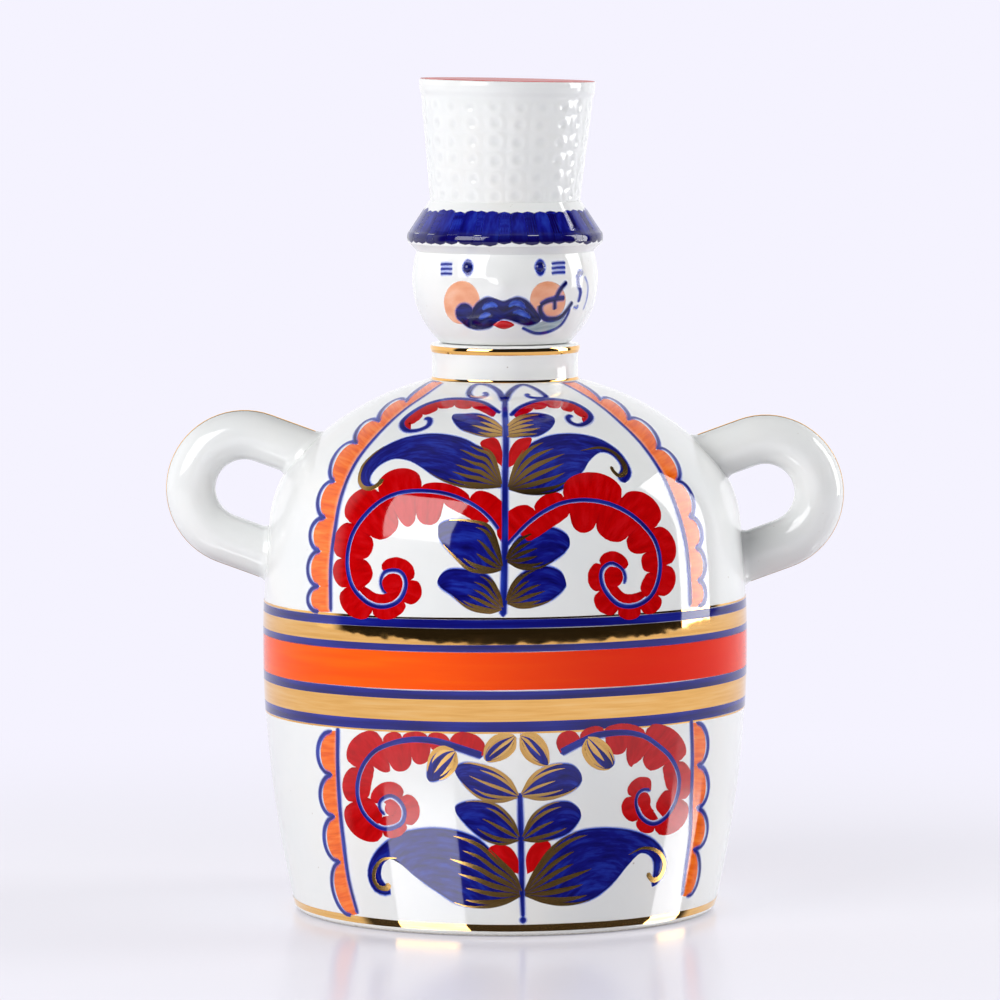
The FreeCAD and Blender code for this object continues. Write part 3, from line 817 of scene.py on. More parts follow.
ARM_REACH = 68.9
ARM_HEIGHT = 111.5
ARM_BEND = 14.2
ARM_HALF = node_box("left_arm")[1][1] - PAINT_ROOM
ARM_TILT = math.radians(20)
ARM_FILLET = 0.7
ARM_FILLET_LENGTH = 1.8
ARM_DROP = 1.2
ARM_SINK = 0.25
ARM_SIDES = 48
BEND_RINGS = 33
LEG_SHARES = (1.0, 0.97, 0.93, 0.88, 0.82, 0.74, 0.64, 0.5, 0.35, 0.2, 0.1)
STRIPE_WIDTH = 2.6
STRIPE_LIFT = 0.08
STRIPE_ENDS = 3


def arm_frame(side):
    """The bend's center, the direction in which the legs point outwards and the one from leg to leg."""
    center = np.array((side * ARM_REACH, 0.0, ARM_HEIGHT - ARM_DROP * (side > 0)))
    outward = np.array((side * math.cos(ARM_TILT), 0.0, math.sin(ARM_TILT)))
    upward = np.array((-side * math.sin(ARM_TILT), 0.0, math.cos(ARM_TILT)))
    return center, outward, upward


def leg_reach(start, inward):
    """How far a line runs before it meets the vessel."""
    reach = 0.0
    for _ in range(80):
        place = start + inward * reach
        reach += 0.5 * (np.hypot(place[0], place[1]) - np.interp(place[2], vessel_ring.z, vessel_ring.r))
    return reach


def arm_rings(side, around):
    """Rings of points along the arm, from the lower leg's foot round the bend to the upper leg's foot."""
    center, outward, upward = arm_frame(side)
    across = np.array((0.0, 1.0, 0.0))
    rings = []
    for level in (-1, 1):
        leg = []
        lines = []
        for a in around:
            aside = math.cos(a) * level * upward + math.sin(a) * across
            start = center + level * ARM_BEND * upward + ARM_HALF * aside
            lines.append((start, aside, leg_reach(start, -outward)))
        for share in LEG_SHARES:
            row = []
            for start, aside, reach in lines:
                left = (1 - share) * reach
                flare = ARM_FILLET * max(0.0, 1 - left / ARM_FILLET_LENGTH) ** 2
                foot = start + flare * aside
                sink = ARM_SINK * (share == 1.0)
                row.append(foot - outward * (leg_reach(foot, -outward) * share + sink))
            leg.append(row)
        rings.append(leg)
    bend = []
    for a in np.linspace(-math.pi / 2, math.pi / 2, BEND_RINGS):
        spoke = math.cos(a) * outward + math.sin(a) * upward
        middle = center + ARM_BEND * spoke
        bend.append([middle + ARM_HALF * (math.cos(b) * spoke + math.sin(b) * across) for b in around])
    return rings[0] + bend + rings[1][::-1]


def arm(name, node_name, side):
    count = ARM_SIDES
    around = np.arange(count) * 2 * math.pi / count
    rings = arm_rings(side, around)
    points = np.array(rings).reshape(-1, 3)
    faces = []
    for k in range(len(rings) - 1):
        for i in range(count):
            j = (i + 1) % count
            faces.append((k * count + i, k * count + j, (k + 1) * count + j, (k + 1) * count + i))
    faces.append(tuple(range(count)))
    faces.append(tuple(reversed(range(len(points) - count, len(points)))))
    piece = make_piece(name, points, faces, porcelain, "decanter", "porcelain", sharp=60.0)
    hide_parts(node_name)


arm("arm_left", "left_arm", 1)
arm("arm_right", "right_arm", -1)


def arm_stripe(name, side):
    """A gold line along the outer spine of an arm."""
    half = STRIPE_WIDTH / 2 / ARM_HALF
    around = np.array((-1.12, -1.0, -0.4, 0.4, 1.0, 1.12)) * half
    rings = np.array(arm_rings(side, around))[STRIPE_ENDS:-STRIPE_ENDS]
    spine = np.array(arm_rings(side, np.array((0.0, math.pi)))).mean(axis=1)[STRIPE_ENDS:-STRIPE_ENDS]
    away = rings - spine[:, None]
    away /= np.linalg.norm(away, axis=2)[:, :, None]
    lift = np.array((EDGE_LIFT, *[STRIPE_LIFT] * 4, EDGE_LIFT))
    points = (rings + away * lift[None, :, None]).reshape(-1, 3)
    columns = len(around)
    faces = [(k * columns + i, k * columns + i + 1, (k + 1) * columns + i + 1, (k + 1) * columns + i)
             for k in range(len(rings) - 1) for i in range(columns - 1)]
    length = np.concatenate(([0.0], np.cumsum(np.linalg.norm(np.diff(spine, axis=0), axis=1))))
    along = np.repeat(length[:, None], columns, axis=1)
    across = np.ones((len(rings), 1)) * around * ARM_HALF
    brush = np.stack((along, across, np.full(along.shape, 3.0)), axis=-1)
    rim = np.tile((-0.05, 0.1, 0.5, 0.5, 0.1, -0.05), len(rings))
    attributes = {"brush": ("FLOAT_VECTOR", brush.reshape(-1, 3)), "rim": ("FLOAT", rim)}
    make_piece(name, points, faces, gold, "decanter", "gold_lustre", SMOOTH, attributes)


arm_stripe("arm_left_stripe", 1)
arm_stripe("arm_right_stripe", -1)


# The head, with a small nose, and the hat with its curled fleece

NOSE_PIXEL = (502.0, 286.0)
NOSE_HALF_WIDE = 2.4
NOSE_HALF_TALL = 2.3
NOSE_HIGH = 0.7
ON_SKIN = 0.02


def bump_out(points, skin, height):
    """Moves points of an outer skin outwards by a height that depends on the turn and the length."""
    r = np.hypot(points[:, 0], points[:, 1])
    outside = np.abs(r - np.interp(points[:, 2], skin.z, skin.r)) < ON_SKIN
    turn = np.arctan2(points[:, 0], -points[:, 1])
    s = skin.length_at(points[:, 2])
    grow = np.where(outside, height(turn, s, r), 0.0)
    points[:, :2] *= (1 + grow / np.maximum(r, 1e-6))[:, None]


def nose_height(turn, s, r):
    nose_turn, nose_s = face_skin.hit([NOSE_PIXEL])
    aside = (turn - nose_turn) * r / NOSE_HALF_WIDE
    rise = (s - nose_s) / NOSE_HALF_TALL
    return NOSE_HIGH * np.exp(-(aside ** 2 + rise ** 2))


head_points, head_faces = turned_mesh(head_section(), 240)
bump_out(head_points, face_skin, nose_height)
head = make_piece("head", head_points, head_faces, porcelain, "stopper", "porcelain", sharp=30.0)
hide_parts("head_shell")

CURL_COLUMNS = 22
CURL_ROWS = 6
CURL_PITCH = 4.73
CURL_LOW = 1.8
CURL_RING = 1.75
CURL_HIGH = 0.17
HAT_BAND = 3.5
HAT_RIM = 2.6
HAT_RIM_HIGH = 0.35


def hat_outline():
    """The hat's flare, hollow by a hair and drawn in to leave room for the fleece."""
    rows = np.linspace(0, 1, 76)
    bow = rows + HAT_HOLLOW * (rows ** 2 - rows)
    flare = HAT_FOOT_RADIUS + (HAT_TOP_RADIUS - HAT_FOOT_RADIUS) * bow
    return list(zip(flare - HAT_RELIEF, HAT_FOOT + (HAT_TOP - HAT_FOOT) * rows))


hat_skin = Turned(hat_outline())
curl_jitter = np.array([[RANDOM.uniform(-1, 1) for _ in range(3)] for _ in range(CURL_COLUMNS * CURL_ROWS)])
curl_jitter = curl_jitter.reshape(CURL_ROWS, CURL_COLUMNS, 3)


def fleece(turn, s, r):
    """Rings of fleece round small dimples, in rows and columns, joined by slanting curls: their height and
    the depth of the dimples, from 0 to 1."""
    column_width = 2 * math.pi / CURL_COLUMNS
    height = np.zeros_like(turn)
    dip = np.zeros_like(turn)
    for row in range(CURL_ROWS):
        for column in range(CURL_COLUMNS):
            shift = curl_jitter[row, column]
            center_turn = (column + 0.5 + 0.10 * shift[0]) * column_width
            center_s = CURL_LOW + row * CURL_PITCH + 0.35 * shift[1]
            aside = (turn - center_turn + math.pi) % (2 * math.pi) - math.pi
            far = np.hypot(aside * r, s - center_s)
            size = CURL_RING * (1 + 0.12 * shift[2])
            height = np.maximum(height, np.exp(-((far - size) / 0.95) ** 2))
            past = s - center_s - CURL_PITCH / 2
            link = np.hypot(aside * r - 0.6 * past, past * 0.8)
            height = np.maximum(height, 0.75 * np.exp(-(link / 1.0) ** 2))
            dip = np.maximum(dip, (0.8 + 0.2 * shift[0]) * np.exp(-(far / 1.1) ** 2))
    fade = np.clip((hat_skin.s[-1] - HAT_BAND - s) / 1.5, 0, 1) * np.clip(s / 0.8, 0, 1)
    return fade * height, fade * dip


def fleece_height(turn, s, r):
    """The relief of the fleece, and a raised rim at the hat's top."""
    height, dip = fleece(turn, s, r)
    rim = np.clip((s - hat_skin.s[-1] + HAT_RIM) / 1.2, 0, 1)
    return CURL_HIGH * (height - 0.5 * dip) + HAT_RIM_HIGH * rim


def lean(points):
    """Leans the hat a little to the right, more towards its top."""
    rise = points[:, 2] - HAT_FOOT
    points[:, 2] -= HAT_LEAN * rise / (CROWN_TOP - HAT_FOOT) * points[:, 0]
    points[:, 0] += HAT_LEAN * rise


hat_inside = [(HAT_TOP_RADIUS - HAT_WALL, HAT_TOP), (HAT_FOOT_RADIUS - HAT_WALL, HAT_FOOT)]
hat_points, hat_faces = turned_mesh(hat_outline() + hat_inside, 420)
hat_turn = np.arctan2(hat_points[:, 0], -hat_points[:, 1])
hat_reach = np.hypot(hat_points[:, 0], hat_points[:, 1])
hat_ring, hat_dip = fleece(hat_turn, hat_skin.length_at(hat_points[:, 2]), hat_reach)
# Painted shade for the fleece: greyest in the dimples, and grey wherever no ring stands.
hat_hollow_shade = {"hollow_shade": ("FLOAT", np.clip(hat_dip + 0.35 * (1 - hat_ring), 0, 1))}
bump_out(hat_points, hat_skin, fleece_height)
lean(hat_points)
hat = make_piece("hat", hat_points, hat_faces, fleece_porcelain, "stopper", "porcelain", 60.0, hat_hollow_shade)
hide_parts("hat_shell")

CROWN_SIDES = 160
crown_flat = HAT_TOP_RADIUS - PAINT_ROOM - CROWN_ROUND
crown_height = CROWN_TOP - HAT_LEAN * HAT_TOP_RADIUS
crown_edge = arc((crown_flat, crown_height - CROWN_ROUND - CROWN_DOME), CROWN_ROUND, 0, math.pi / 2, 8)
crown_shares = 1 - np.linspace(0, 1, 10)[1:]
crown_top = [(crown_flat * share, crown_height - CROWN_DOME * share ** 2) for share in crown_shares]
crown_section = [(0.0, HAT_TOP), (HAT_TOP_RADIUS - PAINT_ROOM, HAT_TOP), *crown_edge, *crown_top]
crown_points, crown_faces = turned_mesh(crown_section, 192)
lean(crown_points)
crown = make_piece("crown", crown_points, crown_faces, porcelain, "stopper", "red_enamel")
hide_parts("hat_crown")

crown_skin = Turned([*crown_edge[4:], *crown_top])
crown_paint = Paint(crown_skin, 0.05)
crown_turns = np.arange(CROWN_SIDES) * 2 * math.pi / CROWN_SIDES
crown_rows = np.linspace(0.3, crown_skin.s[-1] - 0.5, 24)
crown_lengths = np.concatenate(([0.0, 0.08], crown_rows, [crown_skin.s[-1] - 0.2]))
crown_grid = np.repeat(crown_lengths[None, :], CROWN_SIDES, axis=0)
crown_turn_grid = np.repeat(crown_turns[:, None], len(crown_lengths), axis=1)
crown_round = np.abs(crown_turn_grid - math.pi) * 12
crown_paint.coat(crown_turn_grid, crown_grid, crown_round, crown_grid, crown_grid, closed=True)
for block in crown_paint.points:
    lean(block)
crown_paint.piece("crown_coat", crown_red, "stopper", "red_enamel")


# The ornament on the vessel. It is repeated on the back.

fills = Paint(vessel_skin, 0.03, SOFT_COBALT)
oranges = Paint(vessel_skin, 0.03)
reds = Paint(vessel_skin, 0.10)
curl_reds = Paint(vessel_skin, 0.11)
lines = Paint(vessel_skin, 0.12, SOFT_COBALT)
golds = Paint(vessel_skin, 0.14, 0.04)

LEAF_POINTS = 80
BORDER_POINTS = 300
SCROLL_POINTS = 400
ORANGE_SHARE = 0.86
LOBE_WIDTHS = (0.7, 1.2, 1.3, 1.2, 0.7)
RIB_GAP = 2.4
CURL_GAP = 3.4

# Widths along the brush lines
UPPER_BORDER = (0.5, 0.9, 1.1, 1.1)
LOWER_BORDER = (1.2, 1.2, 1.2, 0.9)
UPPER_RIB = (0.8, 1.05, 1.2, 1.2, 1.05, 0.7)
LOWER_RIB = (2.2, 1.9, 1.3, 1.2, 1.1, 1.0, 0.7)
TENDRIL = (1.9, 1.6, 1.5, 1.4, 1.2)
COMMA = (1.2, 1.4, 1.6, 1.6, 1.4)


def leaf(upper, lower, fingers, base, tip, rims=(0.5, 0.8), rim_width=0.8, wide=0.85):
    """A cobalt leaf between two edges that start at its foot. Gold covers the foot as far as base, runs out
    in pointed fingers as far as tip, and follows each edge for a share of its length."""
    fill(fills, upper, lower)
    edges = even(upper, LEAF_POINTS, lower[-2]), even(lower, LEAF_POINTS, upper[-2])
    index = np.linspace(0, 1, LEAF_POINTS)

    def at(u, v):
        first, second = (
            np.column_stack([np.interp(u, index, edge[:, c]) for c in (0, 1)]) for edge in edges)
        return first + (second - first) * v[:, None]

    for k in range(fingers):
        end = tip * RANDOM.uniform(0.7, 1.0)
        u = np.linspace(0.0, end, 16)
        half = 0.5 * wide / fingers * np.clip((end - u) / (end - base), 0, 1) ** 0.8
        middle = (k + 0.5) / fingers
        left, right = (vessel_skin.hit(at(u, middle + way * half)) for way in (-1, 1))
        fill_on(golds, left, right, columns=5)
    for edge, share in zip(edges, rims):
        if share:
            widths = [0.3, rim_width, rim_width, 0.6 * rim_width, 0.1]
            stroke(golds, edge[:int(share * LEAF_POINTS):6], widths)


def border(line, cuts, reaches, side, waist, widths):
    """Orange lobes outside a cobalt line, each with a cobalt outline."""
    rib = even(line, BORDER_POINTS)
    orange_reaches = [ORANGE_SHARE * reach for reach in reaches]
    lobes(oranges, rib, cuts, orange_reaches, side, waist, start_deep=0.8, rest_deep=1.0)
    for first, last, reach in zip(cuts[:-1], cuts[1:], reaches):
        outer = lobe_line(rib, first, last, reach, waist, side)[1]
        stroke(lines, outer, LOBE_WIDTHS, 24)
    stroke(lines, line, widths, 80)


def scroll(rib_points, cuts, reaches, side, inner_cuts, inner_reaches, curl, curl_reach, widths):
    """A red scroll of lobes on both sides of a cobalt rib, which curls up round more red at its end. A pale
    gap follows the rib's inner side."""
    rib = even(rib_points, SCROLL_POINTS)
    lobes(reds, rib, inner_cuts, inner_reaches, -side, waist=0.66, gap=RIB_GAP)
    lobes(reds, rib, curl, [curl_reach], -side, waist=0.8, gap=CURL_GAP)
    lobes(reds, rib, cuts, reaches, side)
    stroke(lines, rib_points, widths, 120)


def upper_panel():
    """Above the belt: borders, a stem, tendrils, leaves and two red scrolls."""
    border(
        line=[(443, 383), (426, 395), (402, 412), (377, 436), (356, 463), (342, 495), (335, 531),
            (331, 566), (331, 612)],
        cuts=[0.0, 0.15, 0.27, 0.38, 0.53, 0.66, 0.78, 0.905, 1.0],
        reaches=[9, 15, 19, 22, 22, 24, 23, 23], side=1, waist=0.5, widths=UPPER_BORDER)
    border(
        line=[(560, 382), (577, 391), (596, 403), (618, 421), (641, 444), (661, 473), (675, 505),
            (685, 540), (689, 576), (690, 607)],
        cuts=[0.0, 0.16, 0.28, 0.42, 0.55, 0.68, 0.79, 0.905, 1.0],
        reaches=[8, 14, 18, 19, 19, 18, 17, 16], side=-1, waist=0.5, widths=UPPER_BORDER)

    # The stem and its two tendrils
    stroke(
        lines,
        points=[(503, 617), (504, 588), (505, 540), (505, 491), (506, 443), (505, 414), (505, 398)],
        widths=[1.9, 1.8, 1.8, 1.7, 1.6, 1.3], count=60)
    stroke(
        lines,
        points=[(504.5, 402), (498, 391), (485.5, 384.5), (474.5, 385.5), (469, 393), (473, 397.5),
            (481.5, 397.5), (486.5, 395), (484, 392)],
        widths=TENDRIL, count=60)
    stroke(
        lines,
        points=[(504.5, 402), (511, 391), (522, 385), (534.5, 388.5), (546, 397), (539, 398.5),
            (530.5, 397.5), (527, 395.5), (528.5, 393.5)],
        widths=TENDRIL, count=60)

    # Two red commas
    comma_left = [
        (500, 413.5), (485, 403.5), (467, 399.5), (447, 399.5), (427, 404.5), (410, 414.5), (402, 423.5),
        (406.5, 430.5), (418, 430.5), (428, 426), (430, 420), (424.5, 418),
    ]
    comma_right = [
        (510.5, 416), (520, 407.5), (535.5, 401.5), (552.5, 399.5), (571, 402.5), (584, 409),
        (590.5, 416), (588, 422), (579.5, 425.5), (571, 423), (567.5, 418), (572, 415),
    ]
    comma_cuts = [0.02, 0.2, 0.32, 0.44, 0.56, 0.68, 0.8]
    lobes(reds, even(comma_left, BORDER_POINTS), comma_cuts, [9, 10, 9, 10, 10, 9], -1, waist=0.7)
    lobes(reds, even(comma_right, BORDER_POINTS), comma_cuts, [9, 9, 9, 10, 9, 8], 1, waist=0.7)
    stroke(lines, points=comma_left, widths=COMMA, count=80)
    stroke(lines, points=comma_right, widths=COMMA, count=80)

    # Small leaves with red petals under them
    leaf(
        upper=[(503, 428), (494, 420), (480, 414), (465, 414), (452, 416)],
        lower=[(503, 436), (489, 437), (474, 434), (459, 428), (452, 416)], fingers=4, base=0.18, tip=0.6,
        rims=(0.0, 0.75), rim_width=0.5)
    leaf(
        upper=[(507, 426), (519, 417), (533, 413), (548, 415), (555, 420)],
        lower=[(507, 437), (524, 437), (538, 436), (550, 429), (555, 420)], fingers=5, base=0.25,
        tip=0.75, rims=(0.5, 0.3), rim_width=0.7)
    fill(
        reds, first=[(502, 467), (491, 457), (480, 443)],
        second=[(502, 465), (502, 450), (495, 438), (480, 443)], count=24)
    fill(
        reds, first=[(507, 467), (509, 452), (516, 441), (525, 438), (532, 439)],
        second=[(508, 468), (516, 463), (526, 452), (532, 439)], count=24)

    # Broad leaves with gilded tips
    leaf(
        upper=[(502, 485), (497, 467), (490, 451), (480, 447), (462, 438), (440, 434), (418, 435),
            (396, 441), (375, 453), (362, 468), (359, 482), (363, 488), (373, 488), (382, 479)],
        lower=[(502, 487), (478, 488), (456, 485), (436, 477), (418, 465), (407, 460), (393, 459),
            (380, 465), (371, 475), (370, 483), (377, 486), (382, 479)],
        fingers=6, base=0.1, tip=0.36, rims=(0.3, 0.5), rim_width=0.7)
    stroke(
        golds,
        points=[(385, 446), (373, 455), (363, 466), (359.5, 479), (363, 487), (371, 488.5),
            (379, 484), (383, 478)],
        widths=[0.1, 0.6, 0.8, 0.9, 1.0, 1.3, 1.5], count=50)
    leaf(
        upper=[(508, 488), (513, 472), (520, 455), (532, 443), (553, 435), (577, 434), (599, 439),
            (616, 449), (627, 462), (631, 474), (625, 483)],
        lower=[(508, 489), (524, 493), (541, 494), (558, 491), (572, 483), (583, 471), (590, 460),
            (601, 452), (613, 456), (621, 467), (618, 477), (625, 483)],
        fingers=6, base=0.13, tip=0.46, rims=(0.25, 0.4), rim_width=0.7)
    stroke(
        golds,
        points=[(580, 451), (600, 448), (614, 453), (623, 463), (625, 472), (619, 476), (613, 471),
            (611, 466)],
        widths=[0.1, 0.7, 1.0, 1.3, 1.5, 1.2, 0.9], count=50)

    # Red scrolls
    scroll(
        rib_points=[(500, 531), (489, 517), (474, 505), (451, 495), (427, 491), (404, 492),
            (384, 499), (367, 513), (354, 531), (348, 551), (348, 571), (354, 589), (368, 603),
            (384, 607), (399, 601), (406, 587), (404, 575), (396, 570), (385, 572), (381, 581),
            (383, 590), (388, 594)],
        cuts=[0.0, 0.12, 0.253, 0.362, 0.467, 0.56, 0.635, 0.72, 0.8, 0.853, 0.93],
        reaches=[20, 10, 24, 23, 16, 15, 21, 13, 17, 13], side=1,
        inner_cuts=[0.04, 0.185, 0.27, 0.345, 0.47, 0.56, 0.66], inner_reaches=[14, 34, 35, 33, 24, 24],
        curl=[0.66, 0.93], curl_reach=13, widths=UPPER_RIB)
    blob(curl_reds, center=(391, 584), size=(9, 9.5))
    scroll(
        rib_points=[(506, 546), (516, 535), (528, 523), (543, 512), (562, 503), (584, 500),
            (606, 503), (625, 511), (642, 524), (655, 541), (660, 561), (658, 581), (650, 597),
            (635, 606), (619, 605), (607, 594), (601, 581), (602, 569), (611, 563), (621, 568),
            (625, 576), (624, 584)],
        cuts=[0.0, 0.125, 0.21, 0.36, 0.475, 0.575, 0.655, 0.71, 0.765, 0.83, 0.895, 0.96],
        reaches=[22, 14, 28, 26, 18, 17, 15, 13, 17, 13, 12], side=-1,
        inner_cuts=[0.05, 0.215, 0.31, 0.44, 0.53, 0.6, 0.68], inner_reaches=[18, 33, 34, 27, 19, 15],
        curl=[0.68, 0.94], curl_reach=13, widths=UPPER_RIB)
    blob(curl_reds, center=(614, 577), size=(9, 10))

    # Leaves beside the stem
    leaf(
        upper=[(503, 568), (498, 548), (489, 527), (471, 521), (451, 520), (440, 524), (438, 531)],
        lower=[(503, 569), (490, 572), (469, 569), (451, 553), (440, 540), (438, 531)], fingers=4,
        base=0.1, tip=0.6, rims=(0.85, 0.85), rim_width=1.0)
    leaf(
        upper=[(503, 608), (497, 590), (487, 575), (462, 569), (447, 570), (438, 579)],
        lower=[(503, 609), (490, 612), (469, 608), (451, 595), (440, 587), (438, 579)], fingers=5,
        base=0.15, tip=0.6, rims=(0.4, 0.7), rim_width=1.0)
    leaf(
        upper=[(506, 560), (516, 540), (531, 530), (550, 527), (565, 533), (570, 542)],
        lower=[(506, 561), (521, 568), (538, 568), (555, 560), (566, 551), (570, 542)], fingers=5,
        base=0.2, tip=0.62, rims=(0.3, 0.7), rim_width=0.8)
    leaf(
        upper=[(506, 601), (515, 581), (528, 569), (545, 566), (560, 571), (566, 582)],
        lower=[(506, 603), (521, 607), (538, 605), (553, 599), (564, 589), (566, 582)], fingers=5,
        base=0.2, tip=0.62, rims=(0.4, 0.7), rim_width=0.9)


def lower_panel():
    """Below the belt: borders, a stem, two red scrolls, leaves and buds."""
    border(
        line=[(338, 727), (338, 764), (340, 805), (344, 843), (349, 879), (358, 914)],
        cuts=[0.02, 0.25, 0.47, 0.71, 1.0], reaches=[20, 19, 19, 18], side=1, waist=0.3,
        widths=LOWER_BORDER)
    border(
        line=[(691, 719), (692, 757), (691, 796), (690, 834), (686, 866), (682, 896)],
        cuts=[0.02, 0.26, 0.5, 0.73, 1.0], reaches=[16, 17, 17, 14], side=-1, waist=0.3,
        widths=LOWER_BORDER)

    # The stem
    stroke(
        lines, points=[(523, 918), (522, 891), (521, 843), (520, 793)], widths=[0.9, 1.5, 1.6, 1.3],
        count=40)
    blob(lines, center=(523, 920), size=(2.6, 2.6))

    # Red scrolls
    scroll(
        rib_points=[(483, 756), (456, 747), (447, 744), (432, 740.5), (412, 739.5), (393, 743),
            (376, 750.5), (364, 764), (358, 781), (358, 798), (364, 813.5), (376, 825.5), (388, 829),
            (401.5, 823.5), (405, 812), (400.5, 801.5), (391, 795.5), (381, 800), (380, 808.5),
            (385, 815)],
        cuts=[0.0, 0.125, 0.2, 0.285, 0.35, 0.467, 0.578, 0.714, 0.787, 0.87, 0.955],
        reaches=[18, 9, 8, 11, 24, 15, 21, 10, 15, 14], side=1,
        inner_cuts=[0.13, 0.185, 0.26, 0.36, 0.435, 0.575, 0.69], inner_reaches=[10, 25, 30, 25, 14, 15],
        curl=[0.69, 0.94], curl_reach=14, widths=LOWER_RIB)
    blob(curl_reds, center=(391, 808.5), size=(6, 7))
    scroll(
        rib_points=[(560, 753), (582, 741.5), (598, 735), (624, 732.5), (643, 736), (656, 744),
            (670, 756.5), (678, 772.5), (679, 787), (675, 803), (665.5, 817.5), (653, 824), (641.5, 818),
            (636, 806), (637, 795), (643, 789.5), (651, 790)],
        cuts=[0.0, 0.095, 0.19, 0.345, 0.505, 0.645, 0.785, 0.845, 0.925, 1.0],
        reaches=[17, 10, 9, 22, 13, 18, 11, 15, 13], side=-1,
        inner_cuts=[0.19, 0.28, 0.39, 0.49, 0.62, 0.74], inner_reaches=[22, 33, 25, 15, 17],
        curl=[0.76, 0.99], curl_reach=14, widths=LOWER_RIB)
    blob(curl_reds, center=(644, 801), size=(6.5, 9))

    # Leaves beside the stem
    leaf(
        upper=[(519, 796), (509, 780), (493, 769), (470, 763), (458, 765), (455, 772)],
        lower=[(519, 797), (502, 801), (483, 799), (467, 788), (455, 772)], fingers=3, base=0.1, tip=0.75,
        rims=(0.85, 0.85), rim_width=0.9, wide=0.5)
    leaf(
        upper=[(521, 794), (534, 775), (553, 765), (572, 765), (582, 777)],
        lower=[(521, 796), (541, 799), (560, 796), (576, 788), (582, 777)], fingers=3, base=0.1, tip=0.75,
        rims=(0.75, 0.85), rim_width=0.9, wide=0.5)
    leaf(
        upper=[(520, 838), (512, 820), (496, 805), (477, 801), (461, 803), (455, 810)],
        lower=[(520, 840), (502, 844), (483, 839), (467, 826), (455, 810)], fingers=3, base=0.12, tip=0.7,
        rims=(0.85, 0.6), rim_width=0.7, wide=0.55)
    leaf(
        upper=[(522, 838), (533, 816), (550, 804), (569, 802), (581, 813)],
        lower=[(522, 840), (541, 841), (560, 837), (574, 828), (581, 813)], fingers=3, base=0.14, tip=0.7,
        rims=(0.75, 0.5), rim_width=0.8, wide=0.55)

    # Buds under the belt
    leaf(
        upper=[(514, 735), (497, 737), (486, 748), (486, 761)],
        lower=[(516, 737), (512, 750), (500, 759), (486, 761)], fingers=3, base=0.2, tip=0.95,
        rims=(1.0, 1.0), rim_width=1.3, wide=0.6)
    leaf(
        upper=[(520, 735), (534, 735), (546, 748), (548, 765)],
        lower=[(520, 737), (524, 752), (534, 762), (548, 765)], fingers=3, base=0.2, tip=0.95,
        rims=(1.0, 1.0), rim_width=1.3, wide=0.6)
    leaf(
        upper=[(455, 750), (441, 748), (430, 758), (428, 780)],
        lower=[(456, 752), (455, 766), (444, 778), (428, 780)], fingers=3, base=0.25, tip=0.85,
        rims=(0.9, 0.8), rim_width=1.1, wide=0.6)
    leaf(
        upper=[(587, 737), (598, 740), (609, 749), (614, 761), (611, 768)],
        lower=[(587, 738), (583.5, 748), (586.5, 758), (594, 766), (603, 769.5), (611, 768)], fingers=3,
        base=0.4, tip=0.95, rims=(0.9, 1.0), rim_width=1.1, wide=0.7)

    # Two red petals
    fill(
        reds, first=[(519, 874), (506, 870), (495, 862), (489, 853), (490, 847)],
        second=[(519, 872), (518, 859), (511, 848), (500, 844), (490, 847)], count=30)
    fill(
        reds, first=[(527, 873), (526, 858), (531, 847), (541, 840), (549, 842)],
        second=[(527, 874), (538, 868), (547, 858), (551, 848), (549, 842)], count=30)

    # Broad leaves with gilded tips
    leaf(
        upper=[(522, 892), (512, 872), (496, 856), (480, 840), (458, 831), (432, 828), (407, 831),
            (388, 840), (373, 856), (368, 875), (375, 891), (389, 895), (391, 888)],
        lower=[(522, 895), (502, 904), (480, 907), (458, 904), (439, 893), (419, 879), (403, 866),
            (394, 858), (383, 864), (381, 877), (386, 885), (391, 888)],
        fingers=6, base=0.1, tip=0.44, rims=(0.3, 0.4), rim_width=0.9)
    stroke(
        golds,
        points=[(397, 858), (384, 859), (376, 867), (374, 878), (379, 887), (387, 888), (389, 883)],
        widths=[0.1, 0.7, 1.0, 1.1, 1.3, 1.7], count=50)
    leaf(
        upper=[(524, 892), (537, 869), (553, 847), (576, 832), (604, 828), (633, 831), (654, 840),
            (665, 856), (663, 875), (652, 887)],
        lower=[(524, 895), (547, 902), (569, 904), (592, 899), (611, 885), (627, 866), (641, 853),
            (652, 858), (654, 870), (652, 887)],
        fingers=6, base=0.12, tip=0.46, rims=(0.45, 0.4), rim_width=1.1)
    stroke(
        golds,
        points=[(628, 855), (643, 848), (657, 851), (664, 862), (661, 875), (653, 880), (647, 873)],
        widths=[0.1, 0.7, 1.0, 1.2, 1.4, 1.3], count=50)


upper_panel()
lower_panel()

# The belt and the turned gold lines

FOOT_LINE = (1.6, 3.4)
LIP_LINE = (-2.5, -0.75)
NECK_LINE = (0.1, 0.75)
BELT_TILT = 0.6
# Each row has its low and its high edge, its sag and its paint
BELT = [
    (53.45, 53.85, -0.28, "gold"), (53.85, 56.7, -0.26, "cobalt"), (56.7, 62.25, -0.14, "gold"),
    (62.15, 64.65, 0.0, "cobalt"), (64.65, 74.4, -0.26, "orange"), (74.2, 76.1, -0.52, "cobalt"),
    (76.1, 80.2, -0.49, "gold"), (80.2, 82.5, -0.56, "cobalt"), (82.55, 83.0, -0.55, "gold"),
]
belt_cobalt = Paint(vessel_ring, 0.06, 0.2)
belt_gold = Paint(vessel_ring, 0.08, 0.04)
belt_middle = Paint(vessel_ring, 0.04)
for low, high, sag, shade in BELT:
    coat = {"gold": belt_gold, "cobalt": belt_cobalt, "orange": belt_middle}[shade]
    ring(coat, low, high, BELT_TILT, sag)
ring(belt_gold, *FOOT_LINE)
collar_gold = Paint(collar_skin, 0.05, 0.04)
ring(collar_gold, COLLAR_TOP + LIP_LINE[0], COLLAR_TOP + LIP_LINE[1], wobble=0.03)
